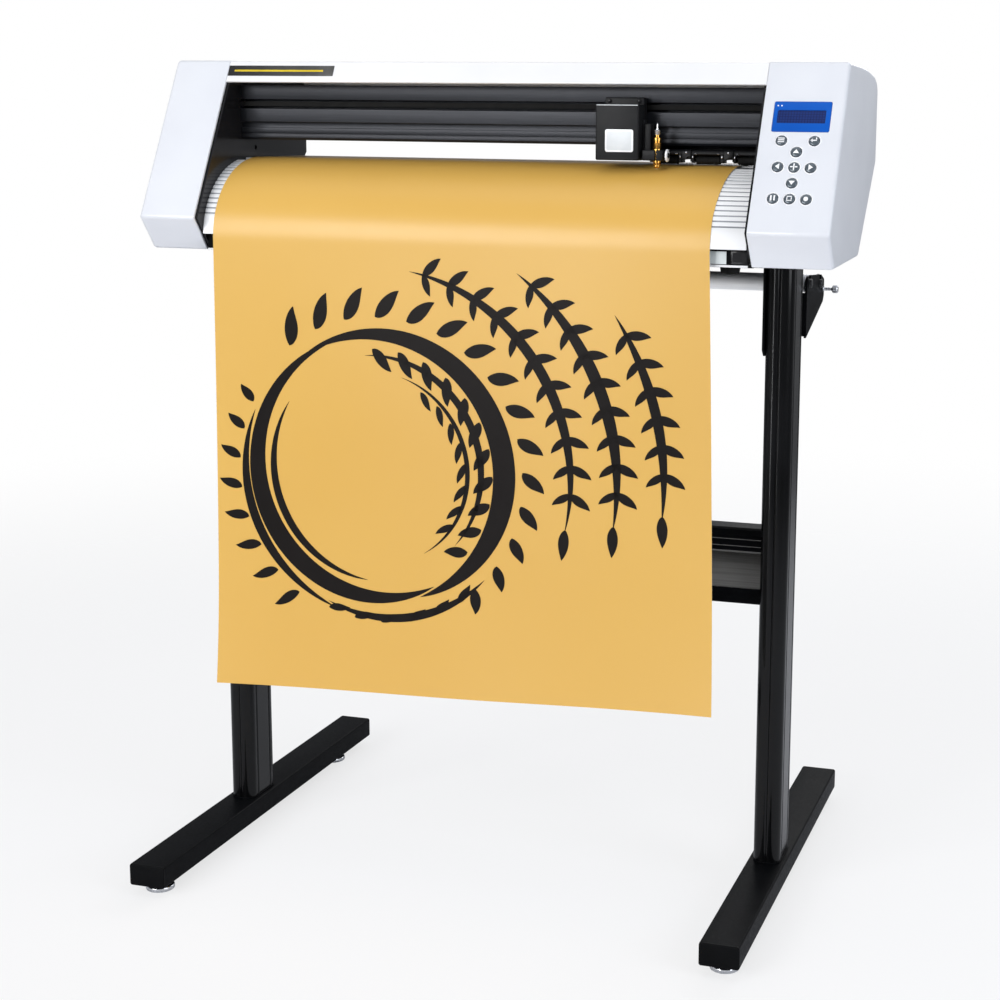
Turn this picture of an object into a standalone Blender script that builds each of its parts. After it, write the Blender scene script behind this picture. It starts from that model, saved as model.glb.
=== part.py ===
"""Vinyl cutter on its floor stand, modelled as separate pieces.

Metres, +Z up.  X runs along the machine from its left end (-X) to its right end
(+X, keypad side), Y runs from the operator (-Y) to the back (+Y).  The origin is
on the floor at the middle of the machine's footprint.  Lengths below are written
in millimetres and scaled once, by MM.
"""
import math

import bpy
import bmesh
from mathutils import Matrix, Vector

MM = 0.001
GAP = 0.35              # clearance kept between neighbouring pieces

# ---------------------------------------------------------------- dimensions
OPEN_L, OPEN_R = -375.5, 354.5          # inner faces of the two end covers
CAP_L, CAP_R = -454.9, 454.6            # outer faces of the two end covers
PLATE_T = 3.0                           # steel side plates
WALL = 3.0                              # moulded cover wall

# end cover side profile (y, z): sloping face A-F, chin F-E, bottom E-D, back
FACE_A = (-69.5, 1075.0)
FACE_F = (-178.5, 872.0)
CAP_PROFILE = [FACE_A, FACE_F, (-145.0, 830.0), (27.5, 835.0), (145.0, 952.0),
               (144.6, 1046.0), (136.0, 1057.0), (118.0, 1064.0), (60.0, 1071.0),
               (-10.0, 1074.0)]
DX = FACE_F[0] - FACE_A[0]
DZ = FACE_F[1] - FACE_A[1]
FACE_LEN = math.hypot(DX, DZ)
FACE_DOWN = (DX / FACE_LEN, DZ / FACE_LEN)      # (y, z) unit vector down the face
FACE_OUT = (FACE_DOWN[1], -FACE_DOWN[0])        # (y, z) unit vector out of it

# curved front of the platen: quarter ellipse
PL_Y, PL_Z, PL_A, PL_B = -33.0, 845.0, 128.0, 103.0

ROLLER_Y, ROLLER_Z, ROLLER_R = -52.0, 937.6, 8.6    # grit roller axis
RAIL_Y = -50.0                                      # front face of the guide rail
BELT_Y, BELT_Z, PULLEY_R, BELT_T, BELT_W = -42.0, 1019.2, 5.5, 1.1, 6.0
DRIVE_X, IDLER_X = 386.0, -398.0                    # pulley axes
TOOL_X, TOOL_Y = 218.0, -85.0                       # blade axis
PIVOT_Y, PIVOT_Z = -12.0, 961.0                     # pinch arm shaft axis

COL_L, COL_R, COL_Y = -392.0, 372.0, -28.0          # stand column axes
COL_W, COL_D = 36.0, 72.0
FOOT_W, FOOT_Z0, FOOT_Z1 = 50.0, 14.0, 43.0
FOOT_Y0, FOOT_Y1 = -317.0, 317.0
SHAFT_R = 11.5
SHAFTS = ((25.0, 799.0), (98.0, 793.0))             # roll shaft axes (y, z)

SHEET_X0, SHEET_X1 = -358.0, 314.0
SHEET_BOTTOM = 258.0
SHEET_T = 0.8

BUTTONS = [("menu", 382.0, 107.0), ("enter", 422.0, 107.0), ("up", 402.0, 122.0),
           ("left", 381.5, 142.0), ("origin", 401.5, 142.3), ("right", 421.5, 142.6),
           ("down", 401.2, 163.0), ("pause", 380.8, 183.6), ("test", 400.8, 183.8),
           ("reset", 420.8, 184.0)]

# ---------------------------------------------------------------- scene set-up
for _o in list(bpy.data.objects):
    bpy.data.objects.remove(_o, do_unlink=True)

PARTS = bpy.data.collections.new("vinyl_cutter")
CUTTERS = bpy.data.collections.new("vinyl_cutter_cutters")
bpy.context.scene.collection.children.link(PARTS)
bpy.context.scene.collection.children.link(CUTTERS)


def material(name, rgb, rough, metal=0.0):
    m = bpy.data.materials.new(name)
    m.use_nodes = True
    b = m.node_tree.nodes["Principled BSDF"]
    b.inputs["Base Color"].default_value = (rgb[0], rgb[1], rgb[2], 1.0)
    b.inputs["Roughness"].default_value = rough
    b.inputs["Metallic"].default_value = metal
    return m


WHITE = material("white_abs", (0.80, 0.81, 0.83), 0.35)
WHITE_METAL = material("white_painted_metal", (0.83, 0.84, 0.85), 0.35, 0.1)
BLACK_ANO = material("black_anodised", (0.018, 0.020, 0.024), 0.38, 0.6)
BLACK_PAINT = material("black_paint", (0.010, 0.010, 0.012), 0.30)
BLACK_PLASTIC = material("black_plastic", (0.030, 0.031, 0.034), 0.45)
STEEL = material("bright_steel", (0.62, 0.63, 0.65), 0.28, 1.0)
ALU = material("silver_aluminium", (0.74, 0.75, 0.77), 0.30, 1.0)
CHROME = material("chrome", (0.80, 0.81, 0.83), 0.10, 1.0)
BRASS = material("brass", (0.72, 0.48, 0.16), 0.25, 1.0)
RUBBER = material("black_rubber", (0.015, 0.015, 0.015), 0.80)
BLUE = material("blue_display", (0.05, 0.16, 0.55), 0.30)
BUTTON = material("grey_button", (0.34, 0.36, 0.38), 0.35, 0.4)
GREEN = material("circuit_board", (0.03, 0.16, 0.06), 0.50)
GOLD = material("gold_vinyl", (0.80, 0.52, 0.16), 0.35)


# ---------------------------------------------------------------- helpers
def add(me, name, mat, loc=(0, 0, 0), rot=None, cutter=False):
    """Object from a mesh given in millimetres, placed at loc (mm)."""
    me.transform(Matrix.Scale(MM, 4))
    ob = bpy.data.objects.new(name, me)
    ob.location = Vector(loc) * MM
    if rot is not None:
        ob.rotation_euler = rot
    (CUTTERS if cutter else PARTS).objects.link(ob)
    if cutter:
        ob.hide_render = True
        ob.display_type = "WIRE"
    elif mat is not None:
        me.materials.append(mat)
    return ob


def box_mesh(size):
    bm = bmesh.new()
    bmesh.ops.create_cube(bm, size=1.0)
    bmesh.ops.scale(bm, vec=Vector(size), verts=bm.verts)
    me = bpy.data.meshes.new("box")
    bm.to_mesh(me)
    bm.free()
    return me


def box(name, x0, x1, y0, y1, z0, z1, mat=None, bev=0.0, seg=2, cutter=False):
    ob = add(box_mesh((x1 - x0, y1 - y0, z1 - z0)), name, mat,
             ((x0 + x1) / 2, (y0 + y1) / 2, (z0 + z1) / 2), cutter=cutter)
    if bev:
        bevel(ob, bev, seg)
    return ob


AXIS_ROT = {"Z": (0, 0, 0), "X": (0, math.pi / 2, 0), "Y": (-math.pi / 2, 0, 0)}


def cyl(name, axis, r, a, b, c, mat=None, seg=24, bev=0.0, cutter=False, r2=None):
    """Cylinder from a to b along axis; c is the pair of the other coordinates."""
    bm = bmesh.new()
    bmesh.ops.create_cone(bm, cap_ends=True, segments=seg, radius1=r,
                          radius2=r if r2 is None else r2, depth=b - a)
    me = bpy.data.meshes.new("cyl")
    bm.to_mesh(me)
    bm.free()
    m = (a + b) / 2
    loc = {"X": (m, c[0], c[1]), "Y": (c[0], m, c[1]), "Z": (c[0], c[1], m)}[axis]
    ob = add(me, name, mat, loc, AXIS_ROT[axis], cutter)
    if not cutter:
        me.shade_smooth()
        me.set_sharp_from_angle(angle=math.radians(40))
    if bev:
        bevel(ob, bev, 2)
    return ob


def turned(name, axis, prof, c, mat, seg=24):
    """Turned piece: prof is (radius, height) from the top down its outer side."""
    bm = bmesh.new()
    ring = prof[0] == prof[-1]
    vs = [bm.verts.new((r, 0.0, h)) for r, h in (prof[:-1] if ring else prof)]
    for p, q in zip(vs, vs[1:]):
        bm.edges.new((p, q))
    if ring:
        bm.edges.new((vs[-1], vs[0]))
    me = bpy.data.meshes.new("turned")
    bm.to_mesh(me)
    bm.free()
    loc = {"X": (0, c[0], c[1]), "Y": (c[0], 0, c[1]), "Z": (c[0], c[1], 0)}[axis]
    ob = add(me, name, mat, loc, AXIS_ROT[axis])
    s = ob.modifiers.new("Screw", "SCREW")
    s.axis = "Z"
    s.angle = math.tau
    s.steps = seg
    s.render_steps = seg
    s.use_merge_vertices = True
    s.merge_threshold = 0.0001 * 0.5
    s.use_smooth_shade = False
    return ob


def flat(pts, thick):
    """Filled outline (2D curve, extruded) turned into a welded mesh, in mm."""
    cu = bpy.data.curves.new("outline", "CURVE")
    cu.dimensions = "2D"
    cu.fill_mode = "BOTH"
    cu.extrude = thick / 2
    for loop in pts:
        sp = cu.splines.new("POLY")
        sp.points.add(len(loop) - 1)
        for i, (a, b) in enumerate(loop):
            sp.points[i].co = (a, b, 0.0, 1.0)
        sp.use_cyclic_u = True
    tmp = bpy.data.objects.new("outline", cu)
    PARTS.objects.link(tmp)
    dg = bpy.context.evaluated_depsgraph_get()
    me = bpy.data.meshes.new_from_object(tmp.evaluated_get(dg))
    bpy.data.objects.remove(tmp, do_unlink=True)
    bm = bmesh.new()
    bm.from_mesh(me)
    bmesh.ops.remove_doubles(bm, verts=bm.verts, dist=0.0005)
    bmesh.ops.recalc_face_normals(bm, faces=bm.faces)
    bm.to_mesh(me)
    bm.free()
    return me


def extrude_x(name, prof, x0, x1, mat=None, bev=0.0, seg=2, cutter=False):
    """Side profile (y, z) run along X."""
    me = flat([prof], x1 - x0)
    me.transform(Matrix(((0, 0, 1, 0), (1, 0, 0, 0), (0, 1, 0, 0), (0, 0, 0, 1))))
    ob = add(me, name, mat, ((x0 + x1) / 2, 0, 0), cutter=cutter)
    if bev:
        bevel(ob, bev, seg)
    return ob


def extrude_z(name, prof, z0, z1, loc, mat=None, bev=0.0, seg=2, cutter=False):
    me = flat([prof], z1 - z0)
    ob = add(me, name, mat, (loc[0], loc[1], (z0 + z1) / 2), cutter=cutter)
    if bev:
        bevel(ob, bev, seg)
    return ob


def bevel(ob, width, seg=2, angle=35):
    b = ob.modifiers.new("Bevel", "BEVEL")
    b.width = width * MM
    b.segments = seg
    b.limit_method = "ANGLE"
    b.angle_limit = math.radians(angle)
    b.miter_outer = "MITER_SHARP"
    return b


def cut(ob, cutter):
    m = ob.modifiers.new("Cut", "BOOLEAN")
    m.operation = "DIFFERENCE"
    m.solver = "EXACT"
    m.object = cutter
    return m


def join(ob, other):
    """Union with a helper solid kept among the cutters."""
    m = ob.modifiers.new("Join", "BOOLEAN")
    m.operation = "UNION"
    m.solver = "EXACT"
    m.object = other
    return m


def inset(poly, d):
    """Polygon moved inwards by d on every side (either winding)."""
    area = sum(poly[i][0] * poly[(i + 1) % len(poly)][1]
               - poly[(i + 1) % len(poly)][0] * poly[i][1] for i in range(len(poly)))
    s = 1.0 if area > 0 else -1.0
    out = []
    n = len(poly)
    for i in range(n):
        p0, p1, p2 = poly[i - 1], poly[i], poly[(i + 1) % n]
        e1 = Vector((p1[0] - p0[0], p1[1] - p0[1])).normalized()
        e2 = Vector((p2[0] - p1[0], p2[1] - p1[1])).normalized()
        n1 = Vector((-e1.y, e1.x)) * s
        n2 = Vector((-e2.y, e2.x)) * s
        k = d / max(0.2, 1.0 + n1.dot(n2))
        out.append((p1[0] + (n1.x + n2.x) * k, p1[1] + (n1.y + n2.y) * k))
    return out


def on_face(x, s, out=0.0):
    """Point at x, s millimetres down the sloping face, out millimetres off it."""
    return (x, FACE_A[0] + FACE_DOWN[0] * s + FACE_OUT[0] * out,
            FACE_A[1] + FACE_DOWN[1] * s + FACE_OUT[1] * out)


# a piece drawn in x / up-the-face / out-of-the-face axes is turned by this angle
FACE_TILT = math.atan2(-FACE_OUT[0], FACE_OUT[1])


def platen_top(y):
    if y >= PL_Y:
        return PL_Z + PL_B
    c = (y - PL_Y) / PL_A
    return PL_Z + PL_B * math.sqrt(max(0.0, 1.0 - c * c))


def ellipse_pt(t, off=0.0):
    """Point on the platen's curved front at angle t, off mm outside it."""
    y, z = PL_Y - PL_A * math.sin(t), PL_Z + PL_B * math.cos(t)
    ny, nz = -math.sin(t) / PL_A, math.cos(t) / PL_B
    l = math.hypot(ny, nz)
    return (y + off * ny / l, z + off * nz / l)


# ================================================================ STAND
def rounded(w, d, r, n=5):
    pts = []
    for cx, cy, a0 in ((w / 2 - r, d / 2 - r, 0), (-w / 2 + r, d / 2 - r, 90),
                       (-w / 2 + r, -d / 2 + r, 180), (w / 2 - r, -d / 2 + r, 270)):
        for k in range(n + 1):
            a = math.radians(a0 + 90.0 * k / n)
            pts.append((cx + r * math.cos(a), cy + r * math.sin(a)))
    return pts


for side, cx in (("left", COL_L), ("right", COL_R)):
    # foot bar: rectangular tube, its two ends closed
    foot = box(side + "_foot_bar", cx - FOOT_W / 2, cx + FOOT_W / 2, FOOT_Y0, FOOT_Y1,
               FOOT_Z0, FOOT_Z1, BLACK_PAINT, 2.2, 2)
    cut(foot, box(side + "_foot_hollow", cx - FOOT_W / 2 + 2.5, cx + FOOT_W / 2 - 2.5, FOOT_Y0 + 2.5,
                  FOOT_Y1 - 2.5, FOOT_Z0 + 2.5, FOOT_Z1 - 2.5, cutter=True))
    # column: flat-oval tube with shallow flutes, a square plate welded on top
    colm = add(flat([rounded(COL_W, COL_D, 13.0, 5), rounded(COL_W - 7.6, COL_D - 7.6, 9.2, 3)],
                    825.0 - FOOT_Z1 - GAP), side + "_column", BLACK_PAINT,
               (cx, COL_Y, (825.0 + FOOT_Z1 + GAP) / 2))
    px0, px1 = (cx - 19, cx + 62) if side == "left" else (cx - 62, cx + 19)
    join(colm, box(side + "_column_plate", px0, px1, COL_Y - 38, COL_Y + 38, 823.6, 826.6, cutter=True))
    for sy in (-1, 1):
        g = cyl(side + "_flute_%s" % ("f" if sy < 0 else "b"), "Z", 3.0, 30, 820,
                (cx, COL_Y + sy * (COL_D / 2 + 1.4)), seg=12, cutter=True)
        cut(colm, g)
    for sx in (-1, 1):
        for sy in (-1, 1):
            g = cyl(side + "_flute_%d%d" % (sx, sy), "Z", 2.4, 30, 820,
                    (cx + sx * (COL_W / 2 + 1.4), COL_Y + sy * 18.0), seg=12, cutter=True)
            cut(colm, g)
    # levelling feet: threaded stem running up into the bar, chromed rim disc
    for tag, y in (("front", FOOT_Y0 + 32.0), ("rear", FOOT_Y1 - 85.0)):
        hole = cyl(side + tag + "_hole", "Z", 4.4, FOOT_Z0 - 5, FOOT_Z0 + 10, (cx, y),
                   seg=16, cutter=True)
        cut(foot, hole)
        turned(side + "_" + tag + "_levelling_foot", "Z",
               [(0, 38.0), (4.0, 38.0), (4.0, 13.4), (7.5, 13.4), (7.5, 8.6), (17.5, 6.6), (18.5, 5.6),
                (18.5, 1.2), (17.6, 0.0), (0, 0.0)],
               (cx, y), CHROME, 16)

# lower crossbar: deep black section, a rounded upper member, a sloping web that
# faces up and forward, and a flat lower lip
CB = [(-46.0, 478.0), (-44.0, 483.5), (-38.0, 486.0), (-8.0, 486.0), (-8.0, 482.6), (-37.0, 482.6),
      (-42.0, 476.0), (-42.0, 457.4), (-16.6, 457.4), (-16.6, 447.8), (-45.6, 406.2), (-46.6, 391.4),
      (-8.0, 391.4), (-8.0, 388.0), (-50.0, 388.0), (-50.0, 408.5), (-47.5, 409.5), (-20.0, 449.0),
      (-20.0, 454.0), (-43.5, 454.0), (-45.5, 456.5), (-45.5, 474.5), (-44.8, 475.5), (-44.8, 477.0)]
extrude_x("lower_crossbar", CB, COL_L + COL_W / 2 + GAP, COL_R - COL_W / 2 - GAP, BLACK_PAINT)

# roll brackets: cranked plate outside each column, open slots for the shafts
def bracket_profile():
    (y1, z1), (y2, z2) = SHAFTS
    p = [(8.35, 790.0), (10.5, 806.0), (y1 - 6.2, 810.0)]
    for (yc, zc) in SHAFTS:
        if yc != y1:
            p += [(y1 + 12, 809.0), (y2 - 14, 806.0), (yc - 6.2, 806.5)]
        for k in range(9):
            a = math.pi + math.pi * k / 8
            p.append((yc + 6.2 * math.cos(a), zc + 6.2 * math.sin(a)))
        p.append((yc + 6.2, 808.5 if yc == y1 else 805.5))
    p += [(y2 + 12, 803.0), (127.0, 797.0), (127.0, 776.0), (121.0, 768.0), (8.35, 730.0)]
    return p


BR_IN = COL_W / 2 + GAP
for side, cx, s in (("left", COL_L, -1), ("right", COL_R, 1)):
    x0, x1 = sorted((cx + s * BR_IN, cx + s * (BR_IN + 3.0)))
    pr = bracket_profile()
    br = extrude_x(side + "_roll_bracket", pr, x0, x1, BLACK_PAINT, 0.6, 1)
    # web behind the column and a flange down its inner side: one folded plate
    w0, w1 = sorted((cx - s * (BR_IN + 3.0), cx + s * (BR_IN + 3.0)))
    join(br, box(side + "_bracket_web", w0, w1, 8.35, 11.35, 732.0, 788.0, cutter=True))
    f0, f1 = sorted((cx - s * (BR_IN + 3.0), cx - s * BR_IN))
    join(br, box(side + "_bracket_flange", f0, f1, -60.0, 11.0, 712.0, 823.0, cutter=True))
    if side == "right":
        h = cyl("thumb_hole", "X", 2.8, x0 - 5, x1 + 5, (112.0, 785.0), seg=16, cutter=True)
        cut(br, h)
for tag, (y, z) in (("front", SHAFTS[0]), ("rear", SHAFTS[1])):
    xl, xr = COL_L - BR_IN, COL_R + BR_IN
    turned(tag + "_roll_shaft", "X",
           [(0, xr + 9.0), (5.0, xr + 9.0), (5.8, xr + 8.2), (5.8, xr - 2.5), (SHAFT_R - 1, xr - 2.5),
            (SHAFT_R, xr - 3.5), (SHAFT_R, xl + 3.5), (SHAFT_R - 1, xl + 2.5), (5.8, xl + 2.5),
            (5.8, xl - 8.2), (5.0, xl - 9.0), (0, xl - 9.0)], (y, z), ALU, 20)
turned("bracket_thumb_screw", "X",
       [(0, COL_R + 50.0), (5.2, COL_R + 50.0), (6.2, COL_R + 49.0), (6.2, COL_R + 41.5), (5.2, COL_R + 40.5),
        (2.4, COL_R + 40.5), (2.4, COL_R + BR_IN + 5.4), (4.6, COL_R + BR_IN + 5.4),
        (4.6, COL_R + BR_IN + 3.4), (2.4, COL_R + BR_IN + 3.4), (2.4, COL_R + 13.0 + 5.5),
        (0, COL_R + 13.0 + 5.5)], (112.0, 785.0), STEEL, 16)

# ================================================================ HEAD FRAME
PL0, PL1 = OPEN_L + GAP, OPEN_L + GAP + PLATE_T         # left side plate
PR0, PR1 = OPEN_R - GAP - PLATE_T, OPEN_R - GAP         # right side plate
IN_L, IN_R = PL1 + GAP, PR0 - GAP                       # between the plates

# base: folded steel tray closing the machine underneath
BASE = [(-148.0, 829.6), (-148.0, 850.0), (-146.0, 850.0), (-146.0, 831.6), (98.0, 831.6),
        (98.0, 905.0), (100.0, 905.0), (100.0, 827.2), (-120.0, 827.2), (-120.0, 829.6)]
base = extrude_x("base_beam", BASE, IN_L, IN_R, BLACK_PAINT)


# side plates
plate_prof = inset(CAP_PROFILE, 4.2)
plate_prof = [(y, max(z, 830.2)) for y, z in plate_prof]
for name, x0, x1 in (("left_side_plate", PL0, PL1), ("right_side_plate", PR0, PR1)):
    p = extrude_x(name, plate_prof, x0, x1, BLACK_PAINT)
    xa, xb = x0 - 5, x1 + 5
    cut(p, cyl(name + "_roller_hole", "X", 4.5, xa, xb, (ROLLER_Y, ROLLER_Z), seg=16, cutter=True))
    cut(p, box(name + "_belt_window", xa, xb, BELT_Y - 9, BELT_Y + 9, BELT_Z - 5, BELT_Z + 5, cutter=True))
    cut(p, cyl(name + "_pivot_hole", "X", 3.4, xa, xb, (PIVOT_Y, PIVOT_Z), seg=16, cutter=True))

# guide rail: extrusion, grooved front, box section open at the back
RAIL = [(-50, 1044), (-50, 1025), (-33, 1025), (-33, 1013.4), (-51.2, 1013.4), (-52, 1012.6), (-52, 996),
        (-51, 995), (-46, 995), (-46, 988), (-50, 988), (-50, 981), (-48.4, 981), (-48.4, 979.5),
        (-50, 979.5), (-50, 975), (-47, 972), (40, 972), (40, 984), (37, 984), (37, 975.5),
        (-29, 975.5), (-29, 1040), (37, 1040), (37, 1031), (40, 1031), (40, 1044)]
rail = extrude_x("guide_rail", RAIL, IN_L, IN_R, BLACK_ANO)
# hanger and back plate under the rail's right end: they carry the pinch arm shaft
HANG_X0, HANG_X1 = 184.2, 189.4
join(rail, box("pinch_hanger", HANG_X0, HANG_X1, -19.0, -1.0, 954.0, 974.0, cutter=True))
join(rail, box("pinch_back_plate", HANG_X0 + 0.2, IN_R - 0.3, -2.5, -0.5, 959.0, 974.5, cutter=True))
cut(rail, cyl("pinch_hanger_bore", "X", 3.4, HANG_X0 - 3, HANG_X1 + 3, (PIVOT_Y, PIVOT_Z), seg=16, cutter=True))

# platen: ribbed curved front
t0 = math.asin((PL_Y + 63.0) / PL_A)
outer = []
RIBS = 15
for i in range(RIBS):
    ta = t0 + (math.radians(72.0) - t0) * i / RIBS
    tb = t0 + (math.radians(72.0) - t0) * (i + 0.58) / RIBS
    tc = t0 + (math.radians(72.0) - t0) * (i + 0.66) / RIBS
    td = t0 + (math.radians(72.0) - t0) * (i + 0.92) / RIBS
    outer += [ellipse_pt(ta), ellipse_pt(tb), ellipse_pt(tc, -0.9), ellipse_pt(td, -0.9)]
for k in range(4):
    outer.append(ellipse_pt(math.radians(72.0 + 18.0 * k / 3)))
outer[-1] = (PL_Y - PL_A * 0.997, 852.0)
outer = [p for p in outer if p[1] >= 851.9]
inner = [(PL_Y - PL_A + 3.8, 852.0)]
for k in range(9):
    inner.append(ellipse_pt(math.radians(80.0) + (t0 + 0.05 - math.radians(80.0)) * k / 8, -3.6))
inner += [(-66.0, 928.0), (-63.0, 928.0)]
extrude_x("platen", outer + inner, IN_L, IN_R, WHITE_METAL)

# rear guide: flat table behind the roller, turned down at the back
RG = [(-41.0, 947.6), (84.0, 947.6), (100.0, 944.6), (112.0, 936.0), (117.0, 924.0), (114.0, 923.0),
      (109.4, 934.0), (98.6, 941.8), (84.0, 944.6), (-38.0, 944.6), (-38.0, 928.0), (-41.0, 928.0)]
extrude_x("rear_guide", RG, IN_L, IN_R, WHITE_METAL)

# top cover: white folded sheet from the front lip over the rail to the back
def down_face(s, inn):
    x, y, z = on_face(0, s, -inn)
    return (y, z)


tc_out = [down_face(31.0, 0.5), down_face(1.2, 0.5), (-66.0, 1073.8), (-10.0, 1073.4), (60.0, 1070.4), (117.6, 1063.4),
          (135.6, 1056.4), (144.0, 1045.8), (144.2, 985.0)]
tc_in = [(142.4, 985.0), (142.2, 1045.2), (134.4, 1055.0), (117.2, 1061.7), (60.0, 1068.7),
         (-10.0, 1071.7), (-66.4, 1072.1), down_face(3.4, 2.2), down_face(29.4, 2.2), down_face(29.4, 3.6), down_face(31.0, 3.6)]
extrude_x("top_cover", tc_out + tc_in, OPEN_L + GAP, OPEN_R - GAP, WHITE)

# ================================================================ END COVERS
def cover(name, xa, xb, open_side):
    ob = extrude_x(name, CAP_PROFILE, xa, xb, WHITE, 3.6, 2)
    cav = inset(CAP_PROFILE, WALL)
    if open_side > 0:           # opens towards +X
        cc = extrude_x(name + "_cavity", cav, xa + WALL, xb + 20, cutter=True)
    else:
        cc = extrude_x(name + "_cavity", cav, xa - 20, xb - WALL, cutter=True)
    cut(ob, cc)
    return ob


left_cover = cover("left_cover", CAP_L, OPEN_L, 1)
right_cover = cover("right_cover", OPEN_R, CAP_R, -1)
# display: framed module let into the sloping face
DISP = (368.0, 438.0, 54.5, 95.0)
def face_box(name, x0, x1, s0, s1, o0, o1, mat=None, cutter=False, bev=0.0):
    me = box_mesh((x1 - x0, s1 - s0, o1 - o0))
    ob = add(me, name, mat, on_face((x0 + x1) / 2, (s0 + s1) / 2, (o0 + o1) / 2), (FACE_TILT, 0, 0), cutter)
    if bev:
        bevel(ob, bev, 2)
    return ob


cut(right_cover, face_box("display_opening", DISP[0] - 0.35, DISP[1] + 0.35, DISP[2] - 0.35, DISP[3] + 0.35,
                          -8, 8, cutter=True))
disp = face_box("display_module", DISP[0], DISP[1], DISP[2], DISP[3], -9.0, 0.5, BLUE, bev=0.4)
cut(disp, face_box("display_recess", 373.0, 432.0, 66.0, 83.6, -0.6, 5.0, cutter=True))

# ten push buttons: round cap, retaining collar behind the panel
for nm, x, s in BUTTONS:
    h = cyl("hole_" + nm, "Z", 6.85, -10, 10, (0, 0), seg=16, cutter=True)
    h.location = Vector(on_face(x, s)) * MM
    h.rotation_euler = (FACE_TILT, 0, 0)
    cut(right_cover, h)
    b = turned("button_" + nm, "Z",
               [(0, 1.9), (5.6, 1.8), (6.4, 0.9), (6.4, -4.4), (7.8, -4.4), (7.8, -5.8), (0, -5.8)],
               (0, 0), BUTTON, 16)
    b.location = Vector(on_face(x, s)) * MM
    b.rotation_euler = (FACE_TILT, 0, 0)

# ================================================================ MEDIA FEED
# grit roller: one steel shaft with knurled drums, journals through both plates
DRUMS = [(-330, -270), (-120, -60), (80, 140), (203, 345)]
prof = [(0, 372.0), (3.6, 372.0), (4.0, 371.4), (4.0, IN_R - 1.0), (6.2, IN_R - 1.0)]
for a, b in reversed(DRUMS):
    prof += [(6.2, b), (ROLLER_R, b), (ROLLER_R, a), (6.2, a)]
prof += [(6.2, IN_L + 1.0), (4.0, IN_L + 1.0), (4.0, PL0 - 5.4), (3.6, PL0 - 6.0), (0, PL0 - 6.0)]
turned("grit_roller", "X", prof, (ROLLER_Y, ROLLER_Z), STEEL, 18)


def gear(name, teeth, module, x0, x1, c, bore, mat, phase=0.0, hub=None):
    """Spur gear about X: involute-like trapezoid teeth, bored through."""
    rp = teeth * module / 2
    ro, ri = rp + 0.85 * module, rp - 1.15 * module
    pts = []
    for i in range(teeth):
        a = math.tau * i / teeth + phase
        w = math.tau / teeth
        for f, r in ((-0.30, ri), (-0.13, ro), (0.13, ro), (0.30, ri)):
            pts.append((r * math.cos(a + f * w), r * math.sin(a + f * w)))
    loops = [pts]
    if bore:
        loops.append([(bore * math.cos(math.tau * k / 20), bore * math.sin(math.tau * k / 20)) for k in range(20)])
    me = flat(loops, x1 - x0)
    me.transform(Matrix(((0, 0, 1, 0), (1, 0, 0, 0), (0, 1, 0, 0), (0, 0, 0, 1))))
    return add(me, name, mat, ((x0 + x1) / 2, c[0], c[1]))


GEAR_T, PIN_T, MOD = 36, 12, 4.0 / 3.0
MOTOR_Y = ROLLER_Y
MOTOR_Z = ROLLER_Z - (GEAR_T + PIN_T) * MOD / 2 - 0.25
gear("feed_gear", GEAR_T, MOD, 360.0, 366.0, (ROLLER_Y, ROLLER_Z), 4.35, BLACK_PLASTIC, math.pi / 2)
# pinion and its motor shaft, one turned-and-cut piece
pin = gear("feed_pinion", PIN_T, MOD, 359.0, 367.0, (MOTOR_Y, MOTOR_Z), 0.0, BRASS,
           math.pi / 2 + math.pi / PIN_T)
join(pin, cyl("pinion_shaft", "X", 2.5, 366.0, 378.0, (MOTOR_Y, MOTOR_Z), seg=16, cutter=True))


def motor(name, axis, c, a, b, front, boss_len):
    """Square stepper motor: 42 mm body, round boss with a bored shaft hole."""
    h = 21.15
    if axis == "X":
        m = box(name, a, b, c[0] - h, c[0] + h, c[1] - h, c[1] + h, STEEL, 3.0, 2)
    else:
        m = box(name, c[0] - h, c[0] + h, c[1] - h, c[1] + h, a, b, STEEL, 3.0, 2)
    lo, hi = sorted((front, front + boss_len))
    ex = 1.0
    join(m, cyl(name + "_boss", axis, 11.0, lo - (ex if boss_len > 0 else 0), hi + (ex if boss_len < 0 else 0), c, seg=24, cutter=True))
    cut(m, cyl(name + "_bore", axis, 2.9, min(front + boss_len * 1.5, front - boss_len * 6),
               max(front + boss_len * 1.5, front - boss_len * 6), c, seg=16, cutter=True))
    return m


motor("feed_motor", "X", (MOTOR_Y, MOTOR_Z), 372.0, 406.0, 372.0, -2.0)

# ================================================================ CARRIAGE DRIVE
motor("carriage_motor", "Z", (DRIVE_X, BELT_Y), 1027.5, 1060.0, 1027.5, -2.0)
drive = cyl("drive_pulley", "Z", PULLEY_R - 0.15, BELT_Z - 4.6, BELT_Z + 4.2, (DRIVE_X, BELT_Y), BRASS, 24)
join(drive, cyl("drive_pulley_shaft", "Z", 2.5, BELT_Z, 1035.0, (DRIVE_X, BELT_Y), seg=16, cutter=True))
idler = cyl("idler_pulley", "Z", PULLEY_R - 0.15, BELT_Z - 4.6, BELT_Z + 4.6, (IDLER_X, BELT_Y), BLACK_PLASTIC, 24)
join(idler, cyl("idler_axle", "Z", 1.6, BELT_Z - 9.0, BELT_Z + 9.0, (IDLER_X, BELT_Y), seg=16, cutter=True))


def stadium(r, n=10):
    pts = []
    for k in range(n + 1):
        a = -math.pi / 2 + math.pi * k / n
        pts.append((DRIVE_X + r * math.cos(a), BELT_Y + r * math.sin(a)))
    for k in range(n + 1):
        a = math.pi / 2 + math.pi * k / n
        pts.append((IDLER_X + r * math.cos(a), BELT_Y + r * math.sin(a)))
    return pts


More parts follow.
